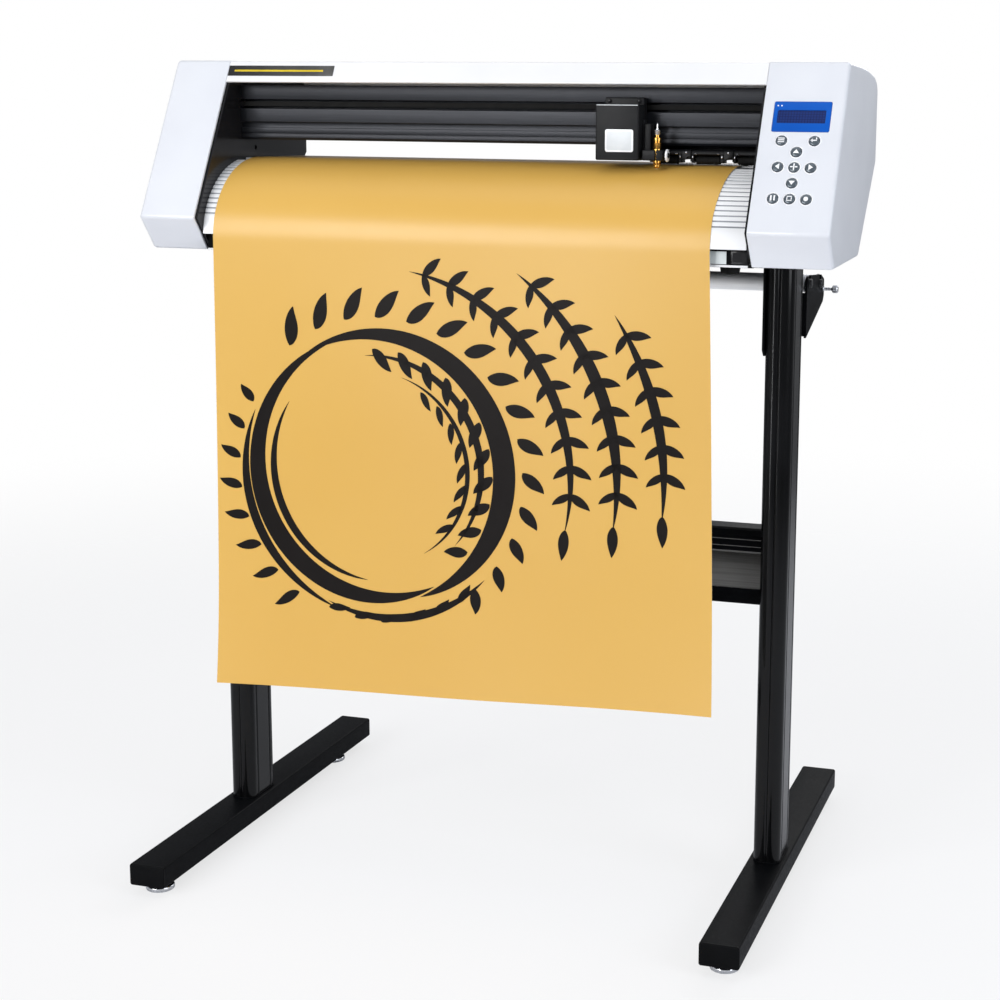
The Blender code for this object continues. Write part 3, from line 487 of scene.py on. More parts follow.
def boolean(ob, cutters, op="DIFFERENCE"):
    """Cuts (or joins) and applies, keeping materials and smooth shading by angle."""
    for c in cutters:
        md = ob.modifiers.new("b", "BOOLEAN")
        md.operation = op
        md.solver = "EXACT"
        md.object = c
    dg = bpy.context.evaluated_depsgraph_get()
    dg.update()
    me = bpy.data.meshes.new_from_object(ob.evaluated_get(dg))
    old = ob.data
    ob.modifiers.clear()
    ob.data = me
    bpy.data.meshes.remove(old)
    for c in cutters:
        bpy.data.objects.remove(c, do_unlink=True)
    me.shade_smooth()
    me.set_sharp_from_angle(angle=math.radians(32.0))
    return ob


def join_obs(obs, name):
    """Several objects become one mesh, each keeping its material."""
    bm = bmesh.new()
    mats = []
    for o in obs:
        me = o.data
        idx = []
        for mt in me.materials:
            if mt not in mats:
                mats.append(mt)
            idx.append(mats.index(mt))
        start = len(bm.faces)
        bm.from_mesh(me)
        bm.faces.ensure_lookup_table()
        for f in bm.faces[start:]:
            f.material_index = idx[f.material_index] if idx else 0
    me = bpy.data.meshes.new(name)
    bm.to_mesh(me)
    bm.free()
    for mt in mats:
        me.materials.append(mt)
    ob = bpy.data.objects.new(name, me)
    scene.collection.objects.link(ob)
    for o in obs:
        bpy.data.objects.remove(o, do_unlink=True)
    return ob


def place(ob, body, nodes=()):
    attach(ob, body)
    if nodes:
        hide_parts(*([nodes] if isinstance(nodes, str) else nodes))
    return ob


def paint(node, mat):
    ob = NODES[node]
    ob.data.materials.clear()
    ob.data.materials.append(MATS[mat])


def rounded(w, d, r, n=8):
    pts = []
    for cx, cy, a0 in ((w / 2 - r, d / 2 - r, 0), (-w / 2 + r, d / 2 - r, 90),
                       (-w / 2 + r, -d / 2 + r, 180), (w / 2 - r, -d / 2 + r, 270)):
        for k in range(n + 1):
            a = math.radians(a0 + 90.0 * k / n)
            pts.append((cx + r * math.cos(a), cy + r * math.sin(a)))
    return pts


def fillet(poly, radii, n=6):
    """Polygon with each corner rounded by its own radius."""
    out = []
    N = len(poly)
    for i in range(N):
        r = radii[i] if isinstance(radii, (list, tuple)) else radii
        p0, p1, p2 = Vector(poly[i - 1]), Vector(poly[i]), Vector(poly[(i + 1) % N])
        d1, d2 = (p0 - p1), (p2 - p1)
        l1, l2 = d1.length, d2.length
        d1.normalize()
        d2.normalize()
        ang = math.acos(max(-1, min(1, d1.dot(d2))))
        if r <= 0 or ang > math.pi - 0.02:
            out.append(tuple(p1))
            continue
        t = min(r / math.tan(ang / 2), 0.48 * l1, 0.48 * l2)
        rr = t * math.tan(ang / 2)
        c = p1 + (d1 + d2).normalized() * (rr / math.sin(ang / 2))
        a, b = p1 + d1 * t - c, p1 + d2 * t - c
        a0 = math.atan2(a.y, a.x)
        a1 = math.atan2(b.y, b.x)
        da = (a1 - a0 + math.pi) % math.tau - math.pi
        for k in range(n + 1):
            th = a0 + da * k / n
            out.append((c.x + rr * math.cos(th), c.y + rr * math.sin(th)))
    return out


def inset(poly, d):
    area = sum(poly[i][0] * poly[(i + 1) % len(poly)][1] - poly[(i + 1) % len(poly)][0] * poly[i][1]
               for i in range(len(poly)))
    s = 1.0 if area > 0 else -1.0
    out = []
    n = len(poly)
    for i in range(n):
        p0, p1, p2 = poly[i - 1], poly[i], poly[(i + 1) % n]
        e1 = Vector((p1[0] - p0[0], p1[1] - p0[1])).normalized()
        e2 = Vector((p2[0] - p1[0], p2[1] - p1[1])).normalized()
        n1 = Vector((-e1.y, e1.x)) * s
        n2 = Vector((-e2.y, e2.x)) * s
        k = d / max(0.2, 1.0 + n1.dot(n2))
        out.append((p1[0] + (n1.x + n2.x) * k, p1[1] + (n1.y + n2.y) * k))
    return out


# ------------------------------------------------------------------ the CAD's driving dimensions
OPEN_L, OPEN_R, CAP_L, CAP_R = -375.5, 354.5, -454.9, 454.6
IN_L, IN_R = -371.8, 350.8
FACE_A, FACE_F = (-69.5, 1075.0), (-178.5, 872.0)
CAP_PROFILE = [FACE_A, FACE_F, (-145.0, 830.0), (27.5, 835.0), (145.0, 952.0), (144.6, 1046.0),
               (136.0, 1057.0), (118.0, 1064.0), (60.0, 1071.0), (-10.0, 1074.0)]
_dx, _dz = FACE_F[0] - FACE_A[0], FACE_F[1] - FACE_A[1]
_L = math.hypot(_dx, _dz)
DOWN = (_dx / _L, _dz / _L)
OUT = (DOWN[1], -DOWN[0])
PL_Y, PL_Z, PL_A, PL_B = -33.0, 845.0, 128.0, 103.0
ROLLER_Y, ROLLER_Z, ROLLER_R = -52.0, 937.6, 8.6
COL_L, COL_R, COL_Y, COL_W, COL_D = -392.0, 372.0, -28.0, 36.0, 72.0
TOOL_X, TOOL_Y = 218.0, -85.0
PIVOT_Y, PIVOT_Z = -12.0, 961.0


def on_face(x, s, out=0.0):
    return Vector((x, FACE_A[0] + DOWN[0] * s + OUT[0] * out, FACE_A[1] + DOWN[1] * s + OUT[1] * out))


def face_frame(x, s, out=0.0):
    """Matrix from (x right, y up the face, z out of it) in mm to the row frame in mm."""
    o = on_face(x, s, out)
    return Matrix(((1, 0, 0, o.x), (0, -DOWN[0], OUT[0], o.y), (0, -DOWN[1], OUT[1], o.z), (0, 0, 0, 1)))


def ellipse_pt(t, off=0.0):
    y, z = PL_Y - PL_A * math.sin(t), PL_Z + PL_B * math.cos(t)
    ny, nz = -math.sin(t) / PL_A, math.cos(t) / PL_B
    l = math.hypot(ny, nz)
    return (y + off * ny / l, z + off * nz / l)


def on_frame(bm, mat4):
    bmesh.ops.transform(bm, matrix=mat4, verts=bm.verts)
    return bm


# ================================================================== STAND
for side, cx in (("left", COL_L), ("right", COL_R)):
    s = -1 if side == "left" else 1
    # foot bar with rounded long edges; plastic caps pressed into its ends
    prof = fillet([(cx - 25, 14.0), (cx + 25, 14.0), (cx + 25, 43.0), (cx - 25, 43.0)], 2.6, 5)
    bm = prism(prof, -314.2, 314.2, "Y")
    bar = obj_from_bm(bm, side + "_foot_bar_tube", "powder_black")
    place(bar, "root", side + "_foot_bar")
    for e, (ya, yb) in (("front", (-317.0, -313.6)), ("rear", (313.6, 317.0))):
        p2 = fillet([(cx - 25, 14.0), (cx + 25, 14.0), (cx + 25, 43.0), (cx - 25, 43.0)], 3.0, 5)
        bm = prism(p2, ya, yb, "Y")
        bev(bm, 0.9, 3, 50.0)
        place(obj_from_bm(bm, "%s_%s_end_cap" % (side, e), "cap_black"), "root", ())
    # column: drawn oval tube with rounded flutes, front, back and sides
    def oval():
        pts = []
        base = rounded(COL_W, COL_D, 13.0, 14)
        # subdivide the straight runs so that flutes can be pressed in
        full = []
        for i in range(len(base)):
            a, b = Vector(base[i]), Vector(base[(i + 1) % len(base)])
            steps = max(1, int((b - a).length / 0.8))
            for k in range(steps):
                full.append(a + (b - a) * (k / steps))
        for p in full:
            q = p.copy()
            for (fx, fy, depth, half) in ((0, 1, 1.5, 2.4), (0, -1, 1.5, 2.4)):
                if fy * p.y > COL_D / 2 - 1e-3 and abs(p.x) < half:
                    q.y -= fy * depth * math.cos(p.x / half * math.pi / 2) ** 2
            for fy in (18.0, -18.0):
                if abs(p.x) > COL_W / 2 - 1e-3 and abs(p.y - fy) < 2.2:
                    q.x -= math.copysign(1.1, p.x) * math.cos((p.y - fy) / 2.2 * math.pi / 2) ** 2
            pts.append((q.x + cx, q.y + COL_Y))
        return pts
    bm = prism(oval(), 43.35, 823.4, "Z")
    tube = obj_from_bm(bm, side + "_column_tube", "enamel_black", 40.0)
    px0, px1 = (cx - 19, cx + 62) if side == "left" else (cx - 62, cx + 19)
    plate = rbox(side + "_column_top", px0, px1, COL_Y - 38, COL_Y + 38, 823.6, 826.6, 0.8, "powder_black")
    place(tube, "root", side + "_column")
    place(plate, "root", ())
    # weld collar at the column's foot
    collar = prism([(x * 1.0 + cx, y + COL_Y) for x, y in rounded(COL_W + 1.6, COL_D + 1.6, 13.6, 14)], 43.15, 44.6, "Z")
    bev(collar, 0.6, 2, 50.0)
    place(obj_from_bm(collar, side + "_weld_collar", "powder_black"), "root", ())
    # levelling feet: chromed disc, rubber-free; hex on the stem
    for tag, y in (("front", -285.0), ("rear", 232.0)):
        body = "%s_%s_levelling_foot" % (side, tag)
        disc = lathe_obj(body + "_disc", [(0, 9.4), (6.2, 9.4), (6.9, 8.9), (7.4, 8.0), (10.5, 7.5), (14.5, 6.9), (17.2, 6.3),
                                           (18.2, 5.5), (18.5, 4.6), (18.5, 1.6), (18.2, 0.7), (17.4, 0.1), (16.6, 0.0), (0, 0.0)],
                         "Z", (cx, y), "chrome", 64)
        hexn = prism([(cx + 7.2 * math.cos(math.tau * k / 6), y + 7.2 * math.sin(math.tau * k / 6)) for k in range(6)], 9.0, 13.3, "Z")
        bev(hexn, 0.5, 2, 25.0)
        hexo = obj_from_bm(hexn, body + "_hex", "steel_bright")
        th = [(3.9 - (0.35 if k % 2 else 0.0), 13.2 + 0.62 * k) for k in range(40)]
        stem = lathe_obj(body + "_thread", [(0, 13.0)] + th + [(0, th[-1][1] + 0.3)], "Z", (cx, y), "steel_bright", 24)
        o = join_obs([disc, hexo, stem], body + "_fine")
        place(o, body, body)

# lower crossbar
CBP = [(-46.0, 478.0), (-44.0, 483.5), (-38.0, 486.0), (-8.0, 486.0), (-8.0, 482.6), (-37.0, 482.6), (-42.0, 476.0),
       (-42.0, 457.4), (-16.6, 457.4), (-16.6, 447.8), (-45.6, 406.2), (-46.6, 391.4), (-8.0, 391.4), (-8.0, 388.0),
       (-50.0, 388.0), (-50.0, 408.5), (-47.5, 409.5), (-20.0, 449.0), (-20.0, 454.0), (-43.5, 454.0), (-45.5, 456.5),
       (-45.5, 474.5), (-44.8, 475.5), (-44.8, 477.0)]
rad = [2.0, 3.0, 3.0, 0.6, 0.6, 1.5, 1.5, 1.0, 1.0, 1.0, 1.0, 1.0, 0.8, 0.8, 1.4, 1.0, 0.6, 1.5, 1.0, 1.2, 1.2, 0.4, 0.3, 0.3]
cb = obj_from_bm(prism(fillet(CBP, rad, 4), COL_L + 18.35, COL_R - 18.35), "lower_crossbar_section", ["powder_black", "panel_satin"])
# web faces that face up and forward take the lighter grey as painted light, and the down-facing edge under the upper
# member takes it as a painted highlight line
for p in cb.data.polygons:
    cz, cy = p.center.z / MM, p.center.y / MM
    if (408.5 < cz < 452.0 and p.normal.y < -0.3 and p.normal.z > 0.1) or (p.normal.z < -0.2 and p.normal.y < -0.05 and 453.5 < cz < 457.0):
        p.material_index = 1
place(cb, "root", "lower_crossbar")
# two thin light grey strips along the upper member: painted highlights on its groove edges
for k, zz in enumerate((463.0, 472.0)):
    place(obj_from_bm(prism([(-45.5, zz - 0.5), (-45.95, zz), (-45.5, zz + 0.5)], COL_L + 18.5, COL_R - 18.5), "crossbar_highlight_line_%d" % k, "panel_satin"), "root", ())

# roll brackets
SHAFTS = ((25.0, 799.0), (98.0, 793.0))


def bracket_profile():
    (y1, z1), (y2, z2) = SHAFTS
    p = [(8.35, 790.0), (10.5, 806.0), (y1 - 6.2, 810.0)]
    for (yc, zc) in SHAFTS:
        if yc != y1:
            p += [(y1 + 12, 809.0), (y2 - 14, 806.0), (yc - 6.2, 806.5)]
        for k in range(25):
            a = math.pi + math.pi * k / 24
            p.append((yc + 6.15 * math.cos(a), zc + 6.15 * math.sin(a)))
        p.append((yc + 6.2, 808.5 if yc == y1 else 805.5))
    p += [(y2 + 12, 803.0), (127.0, 797.0), (127.0, 776.0), (121.0, 768.0), (8.35, 730.0)]
    return p


bp = bracket_profile()
brad = []
for q in bp:
    brad.append(1.8 if q in ((10.5, 806.0), (18.8, 810.0), (31.2, 808.5), (37.0, 809.0), (84.0, 806.0), (91.8, 806.5), (104.2, 805.5), (110.0, 803.0))
                else (5.0 if q in ((127.0, 797.0), (127.0, 776.0), (121.0, 768.0)) else 0))
bpf = fillet(bp, brad, 5)
for side, cx, s in (("left", COL_L, -1), ("right", COL_R, 1)):
    x0, x1 = sorted((cx + s * 18.35, cx + s * 21.35))
    bm = prism(bpf, x0, x1)
    o = obj_from_bm(bm, side + "_roll_bracket_plate", "powder_black")
    # the folded plate: web behind the column, flange down its inner side
    w0, w1 = sorted((cx - s * 21.35, cx + s * 21.35))
    f0, f1 = sorted((cx - s * 21.35, cx - s * 18.35))
    web = obj_from_bm(bev(cuboid(w0 + 0.1, w1 - 0.1, 8.4, 11.3, 732.0, 788.0), 0.7, 3), "c", "powder_black")
    fl_prof = fillet([(-60.0, 720.0), (-52.0, 712.0), (11.0, 712.0), (11.0, 823.0), (-60.0, 823.0)], [3, 3, 1, 1, 2], 5)
    fl = obj_from_bm(bev(prism(fl_prof, f0, f1), 0.5, 2, 60.0), "c", "powder_black")
    boolean(o, [web, fl], "UNION")
    if side == "right":
        boolean(o, [obj_from_bm(lathe([(0, x0 - 4), (2.8, x0 - 4), (2.8, x1 + 4), (0, x1 + 4)], "X", (112.0, 785.0), 32), "c", None)])
    place(o, "root", side + "_roll_bracket")
    # button-head hex screws: four through the web, four through the inner flange
    heads = [("Y", (cx + dx, zz), 11.32, 1) for dx in (-12.0, 12.0) for zz in (745.0, 775.0)]
    xf = f0 if s > 0 else f1
    heads += [("X", (yy, zz), xf, -s) for yy, zz in ((-44.0, 730.0), (-12.0, 730.0), (-44.0, 806.0), (-12.0, 806.0))]
    for k, (ax, c, at, d) in enumerate(heads):
        prof = [(0, at + d * 2.0), (1.8, at + d * 1.95), (3.2, at + d * 1.5), (3.9, at + d * 0.6), (4.0, at + d * 0.02), (0, at + d * 0.02)]
        ho = obj_from_bm(lathe(prof, ax, c, 28), "%s_bracket_screw_%d" % (side, k), "steel_bright")
        hx = prism([(c[0] + 1.5 * math.cos(math.tau * q / 6), c[1] + 1.5 * math.sin(math.tau * q / 6)) for q in range(6)],
                   *sorted((at + d * 0.9, at + d * 3.0)), axis=ax)
        boolean(ho, [obj_from_bm(hx, "c", None)])
        place(ho, "root", ())

for tag, (y, z) in (("front", SHAFTS[0]), ("rear", SHAFTS[1])):
    xl, xr = COL_L - 18.35, COL_R + 18.35
    prof = [(0, xr + 6.4), (4.6, xr + 6.4), (5.4, xr + 6.0), (5.8, xr + 5.2), (5.8, xr - 2.5), (10.6, xr - 2.5), (11.3, xr - 2.9), (11.5, xr - 3.7),
            (11.5, xr - 22.0), (11.25, xr - 22.3), (11.25, xr - 23.3), (11.5, xr - 23.6), (11.5, xl + 23.6), (11.25, xl + 23.3), (11.25, xl + 22.3), (11.5, xl + 22.0),
            (11.5, xl + 3.7), (11.3, xl + 2.9), (10.6, xl + 2.5), (5.8, xl + 2.5), (5.8, xl - 5.2), (5.4, xl - 6.0), (4.6, xl - 6.4), (0, xl - 6.4)]
    tube = lathe_obj(tag + "_roll_tube", prof, "X", (y, z), ["aluminium_satin", "motor_black"], 72)
    for p in tube.data.polygons:
        if not (xl + 0.5 < p.center.x / MM < xr - 0.5):
            p.material_index = 1
    place(tube, tag + "_roll_shaft", tag + "_roll_shaft")

# thumb screw with a knurled head
x0 = COL_R
prof = [(0, x0 + 43.0), (4.0, x0 + 43.0), (4.6, x0 + 42.6), (5.0, x0 + 42.0), (5.0, x0 + 36.6), (4.4, x0 + 35.7), (3.4, x0 + 35.4), (2.4, x0 + 34.6)]
for k in range(14):
    prof.append((2.4 - (0.25 if k % 2 else 0), x0 + 33.8 - 0.68 * k))
prof += [(2.4, x0 + 24.0), (4.6, x0 + 23.8), (4.6, x0 + 21.8), (2.4, x0 + 21.7), (2.4, x0 + 18.5), (0, x0 + 18.5)]
bm = lathe(prof, "X", (112.0, 785.0), 48)
for v in bm.verts:
    r = math.hypot(v.co.y - 112.0, v.co.z - 785.0)
    if r > 4.7:
        a = math.atan2(v.co.z - 785.0, v.co.y - 112.0)
        f = 1.0 + 0.035 * (1 if int(round(a / math.tau * 48)) % 2 else -1)
        v.co.y = 112.0 + (v.co.y - 112.0) * f
        v.co.z = 785.0 + (v.co.z - 785.0) * f
place(obj_from_bm(bm, "thumb_screw_fine", "chrome", 25.0), "bracket_thumb_screw", "bracket_thumb_screw")

# ================================================================== HEAD
# base tray keeps its CAD solid; labels, ports, feet and screws sit on it
paint("base_beam", "powder_black")
for node in ("left_side_plate", "right_side_plate"):
    ob = NODES[node]
    ob.data.materials.clear()
    ob.data.materials.append(MATS["glossy_black"])
for node, mat in (("feed_motor", "motor_black"),
                  ("carriage_motor", "motor_black"), ("feed_pinion", "brass"), ("feed_gear", "abs_black"),
                  ("drive_pulley", "brass"), ("idler_pulley", "abs_black"), ("carriage_belt", "rubber_black"),
                  ("pinch_shaft", "steel_bright"), ("power_supply", "steel_bright"), ("mainboard", "pcb_green")):
    paint(node, mat)

# light folded edge along the tray's lower front, and the plain type label beside a port
place(rbox("tray_front_edge", IN_L + 0.2, IN_R - 0.2, -149.4, -148.05, 829.7, 832.4, 0.5, "sheet_white"), "root", ())
place(rbox("type_label", 255.0, 324.0, -148.6, -148.02, 833.2, 848.6, 0.25, "label_plain"), "root", ())
port = cuboid(329.5, 350.4, -148.5, -148.05, 833.4, 849.2)
po = obj_from_bm(bev(port, 0.2, 2), "port_frame", "glossy_black")
boolean(po, [obj_from_bm(cuboid(332.0, 348.0, -150.0, -148.25, 836.0, 846.6), "c", None)])
place(po, "root", ())
for k, (x, y) in enumerate(((319.0, -106.0), (-340.0, -106.0), (319.0, 86.0), (-340.0, 86.0))):
    place(lathe_obj("rubber_foot_%d" % k, [(0, 818.6), (9.6, 818.6), (10.8, 819.2), (11.6, 820.4), (12.8, 827.0), (0, 827.0)],
                    "Z", (x, y), "rubber_black", 40), "root", ())

# platen with rounded ribs
t0 = math.asin((PL_Y + 63.0) / PL_A)
t1 = math.radians(72.0)
RIBS = 15
outer = [(-62.9, ellipse_pt(t0)[1])]
for i in range(RIBS):
    w = (t1 - t0) / RIBS
    a = t0 + w * i
    for f, d in ((0.03, 0.0), (0.10, 0.12) if False else (0.10, 0.0), (0.30, 0.0), (0.50, 0.0), (0.57, -0.08), (0.62, -0.30), (0.66, -0.70), (0.70, -0.88),
                 (0.80, -0.92), (0.88, -0.88), (0.92, -0.70), (0.96, -0.30), (0.99, -0.08)):
        outer.append(ellipse_pt(a + w * f, d))
for k in range(9):
    outer.append(ellipse_pt(math.radians(72.0 + 14.3 * k / 8)))
outer.append((PL_Y - PL_A * 0.997, 852.0))
inner = [(PL_Y - PL_A + 3.8, 852.0)]
for k in range(25):
    inner.append(ellipse_pt(math.radians(80.0) + (t0 + 0.05 - math.radians(80.0)) * k / 24, -3.6))
inner += [(-66.0, 928.0), (-63.0, 928.0)]
pl = obj_from_bm(prism(outer + inner, IN_L, IN_R), "platen_ribbed", ["platen_white", "platen_groove_painted_shade"], 50.0)
# faces in the bottoms of the rib grooves take the darker grey: painted shade in the grooves
for p in pl.data.polygons:
    y, z = p.center.y / MM, p.center.z / MM
    if abs(p.normal.x) < 0.5 and PL_Y - PL_A < y < -60.0 and z > 876.0:
        e = math.sqrt(((y - PL_Y) / PL_A) ** 2 + ((z - PL_Z) / PL_B) ** 2)
        if 0.9860 < e < 0.9950:
            p.material_index = 1
place(pl, "root", "platen")

# rear guide
RG = [(-41.0, 947.6), (84.0, 947.6), (100.0, 944.6), (112.0, 936.0), (117.0, 924.0), (114.0, 923.0),
      (109.4, 934.0), (98.6, 941.8), (84.0, 944.6), (-38.0, 944.6), (-38.0, 928.0), (-41.0, 928.0)]
place(obj_from_bm(prism(fillet(RG, [0.8, 14, 14, 14, 0.8, 0.8, 12, 12, 12, 1, 0.8, 0.8], 6), IN_L, IN_R), "rear_guide_fine", "platen_white"),
      "root", "rear_guide")


# top cover with rolled edges and smooth crown
def down_face(s, inn):
    p = on_face(0, s, -inn)
    return (p.y, p.z)


tco = [down_face(31.0, 0.5), down_face(1.2, 0.5), (-66.0, 1073.8), (-10.0, 1073.4), (60.0, 1070.4), (117.6, 1063.4),
       (135.6, 1056.4), (144.0, 1045.8), (144.2, 985.0)]
tci = [(142.4, 985.0), (142.2, 1045.2), (134.4, 1055.0), (117.2, 1061.7), (60.0, 1068.7), (-10.0, 1071.7), (-66.4, 1072.1),
       down_face(3.4, 2.2), down_face(29.4, 2.2), down_face(29.4, 3.6), down_face(31.0, 3.6)]
rr = [0.7, 3.0, 2.0, 20, 30, 18, 12, 12, 0.8] + [0.8, 10, 10, 16, 28, 20, 1, 1, 0.5, 0.5, 0.6]
place(obj_from_bm(prism(fillet(tco + tci, rr, 7), OPEN_L + 0.35, OPEN_R - 0.35), "top_cover_fine", "sheet_white", 45.0), "root", "top_cover")

# plain name strip at the lip's left end: dark field with a fine band, no lettering
def face_plate(name, x0, x1, s0, s1, o0, o1, r, mat, bevel=0.15, holes=()):
    cxm, sm = (x0 + x1) / 2, (s0 + s1) / 2
    bm = prism(rounded(x1 - x0, s1 - s0, r, 6), 0.0, o1 - o0, "Z")
    if bevel:
        bev(bm, bevel, 2, 50.0)
    on_frame(bm, face_frame(cxm, sm, o0))
    ob = obj_from_bm(bm, name, mat)
    return ob


place(face_plate("name_strip", -374.8, -223.0, 7.4, 22.6, -0.48, -0.12, 0.6, "label_dark", 0.1), "root", ())
place(face_plate("name_strip_band", -366.0, -238.0, 13.6, 16.4, -0.12, 0.0, 0.6, "label_band", 0.05), "root", ())

# guide rail with softened extrusion edges
RAIL = [(-50, 1044), (-50, 1025), (-33, 1025), (-33, 1013.4), (-51.2, 1013.4), (-52, 1012.6), (-52, 996), (-51, 995), (-46, 995), (-46, 988),
        (-50, 988), (-50, 981), (-48.4, 981), (-48.4, 979.5), (-50, 979.5), (-50, 975), (-47, 972), (40, 972), (40, 984), (37, 984), (37, 975.5),
        (-29, 975.5), (-29, 1040), (37, 1040), (37, 1031), (40, 1031), (40, 1044)]
rrad = [0.8, 0.5, 0.4, 0.4, 0.3, 0.3, 0.4, 0.4, 0.4, 0.4, 0.4, 0.3, 0.2, 0.2, 0.3, 0.8, 0.8, 0.6, 0.6, 0.5, 0.5, 1, 1, 0.5, 0.5, 0.6, 0.6]
rail = obj_from_bm(prism(fillet(RAIL, rrad, 3), IN_L, IN_R), "guide_rail_section", "anodised_black", 30.0)
hang = obj_from_bm(bev(cuboid(184.3, 189.3, -18.8, -1.0, 954.2, 971.98), 0.5, 2), "hang", "abs_black")
boolean(hang, [obj_from_bm(lathe([(0, 180), (3.4, 180), (3.4, 195), (0, 195)], "X", (PIVOT_Y, PIVOT_Z), 32), "c", None)])
backp = obj_from_bm(bev(cuboid(184.5, IN_R - 0.4, -2.45, -0.55, 959.2, 971.98), 0.3, 2), "backp", "abs_black")
place(join_obs([rail, hang, backp], "guide_rail_with_hanger"), "root", "guide_rail")


# end covers: one moulded shell each, rounded where the side turns into the profile
def cover(name, xa, xb, open_side, node):
    prof = fillet(CAP_PROFILE, [7.0, 6.0, 6.0, 8.0, 9.0, 9.0, 10.0, 16.0, 30.0, 20.0], 7)
    bm = prism(prof, xa, xb)
    bmesh.ops.recalc_face_normals(bm, faces=bm.faces)
    closed_x = xa if open_side > 0 else xb

    def outer_rim(e):
        return all(abs(v.co.x - closed_x) < 1e-3 for v in e.verts)

    def inner_rim(e):
        return all(abs(v.co.x - (xb if open_side > 0 else xa)) < 1e-3 for v in e.verts)
    bev(bm, 5.0, 6, 30.0, outer_rim)
    bev(bm, 0.7, 2, 60.0, inner_rim)
    ob = obj_from_bm(bm, name, "abs_white")
    cav = fillet(inset(CAP_PROFILE, 3.0), [4.0, 3.0, 3.0, 5.0, 6.0, 6.0, 7.0, 13.0, 27.0, 17.0], 5)
    if open_side > 0:
        cut = prism(cav, xa + 3.0, xb + 20)
    else:
        cut = prism(cav, xa - 20, xb - 3.0)
    cutters = [obj_from_bm(cut, "c", None)]
    if node == "right_cover":
        bm = prism(rounded(70.7, 40.7 + 0.5, 2.4, 6), -9.0, 9.0, "Z")
        on_frame(bm, face_frame(403.0, 74.75))
        cutters.append(obj_from_bm(bm, "c", None))
        for nm, x, s in BUTTONS:
            bm = lathe([(0, -9.0), (6.85, -9.0), (6.85, 9.0), (0, 9.0)], "Z", (0, 0), 40)
            on_frame(bm, face_frame(x, s))
            cutters.append(obj_from_bm(bm, "c", None))
    boolean(ob, cutters)
    place(ob, "root", node)
    return ob


BUTTONS = [("menu", 382.0, 107.0), ("enter", 422.0, 107.0), ("up", 402.0, 122.0), ("left", 381.5, 142.0), ("origin", 401.5, 142.3),
           ("right", 421.5, 142.6), ("down", 401.2, 163.0), ("pause", 380.8, 183.6), ("test", 400.8, 183.8), ("reset", 420.8, 184.0)]
cover("left_cover_shell", CAP_L, OPEN_L, 1, "left_cover")
cover("right_cover_shell", OPEN_R, CAP_R, -1, "right_cover")

# buttons: domed caps, raised white ring round each, raised symbols
def symbol(kind):
    """Outlines (mm, centred) of a button's raised mark. Arrows, bars, dots and rings only."""
    def arrow(a):
        pts = [(-2.5, -1.5), (2.5, -1.5), (0.0, 2.0)]
        c, s = math.cos(a), math.sin(a)
        return [(x * c - y * s, x * s + y * c) for x, y in pts]

    def bar(x0, x1, y0, y1):
        return [(x0, y0), (x1, y0), (x1, y1), (x0, y1)]

    def ring(r, n=20):
        return [(r * math.cos(math.tau * k / n), r * math.sin(math.tau * k / n)) for k in range(n)]
    if kind == "up":
        return [arrow(0)]
    if kind == "left":
        return [arrow(math.pi / 2)]
    if kind == "down":
        return [arrow(math.pi)]
    if kind == "right":
        return [arrow(-math.pi / 2)]
    if kind == "origin":
        return [bar(-0.5, 0.5, -3.0, 3.0), bar(-3.0, -0.9, -0.5, 0.5), bar(0.9, 3.0, -0.5, 0.5)]
    if kind == "menu":
        return [bar(-2.6, 2.6, 1.2, 2.0), bar(-2.6, 2.6, -0.4, 0.4), bar(-2.6, 2.6, -2.0, -1.2)]
    if kind == "enter":
        return [bar(-2.6, 2.2, -0.45, 0.45), [(-3.2, 0.0), (-1.2, -1.5), (-1.2, 1.5)], bar(1.3, 2.2, 0.8, 2.4)]
    if kind == "pause":
        return [bar(-2.0, -0.7, -2.2, 2.2), bar(0.7, 2.0, -2.2, 2.2)]
    if kind == "test":
        return [bar(-2.1, 2.1, 1.4, 2.1), bar(-2.1, 2.1, -2.1, -1.4), bar(-2.1, -1.4, -1.1, 1.1), bar(1.4, 2.1, -1.1, 1.1)]
    return [ring(1.9)]


for nm, x, s in BUTTONS:
    fr = face_frame(x, s)
    prof = [(0, 2.05), (2.5, 2.0), (4.4, 1.86), (5.4, 1.66), (6.0, 1.32), (6.34, 0.8), (6.4, 0.2), (6.4, -4.4), (7.8, -4.4), (7.8, -5.8), (0, -5.8)]
    cap = obj_from_bm(on_frame(lathe(prof, "Z", (0, 0), 48), fr), "cap_" + nm, "button_grey")
    obs = [cap]
    for k, loop in enumerate(symbol(nm)):
        bm = prism([(q[0] * 1.5, q[1] * 1.5) for q in loop], 1.5, 2.3, "Z")
        obs.append(obj_from_bm(on_frame(bm, fr), "mark_%s_%d" % (nm, k), "icon_white"))
    place(join_obs(obs, "button_%s_fine" % nm), "button_" + nm, "button_" + nm)
    rg = [(6.95, 0.02)] + [(7.7 + 0.75 * math.cos(a), 0.02 + 0.62 * math.sin(a)) for a in [math.pi * (1 - q / 8) for q in range(9)]] + [(8.45, 0.02)]
    rg = [(6.95, -0.1)] + rg[1:-1] + [(8.45, -0.1)]
    ringo = obj_from_bm(on_frame(lathe(rg, "Z", (0, 0), 48, closed=True), fr), "button_ring_" + nm, "ring_white")
    place(ringo, "root", ())

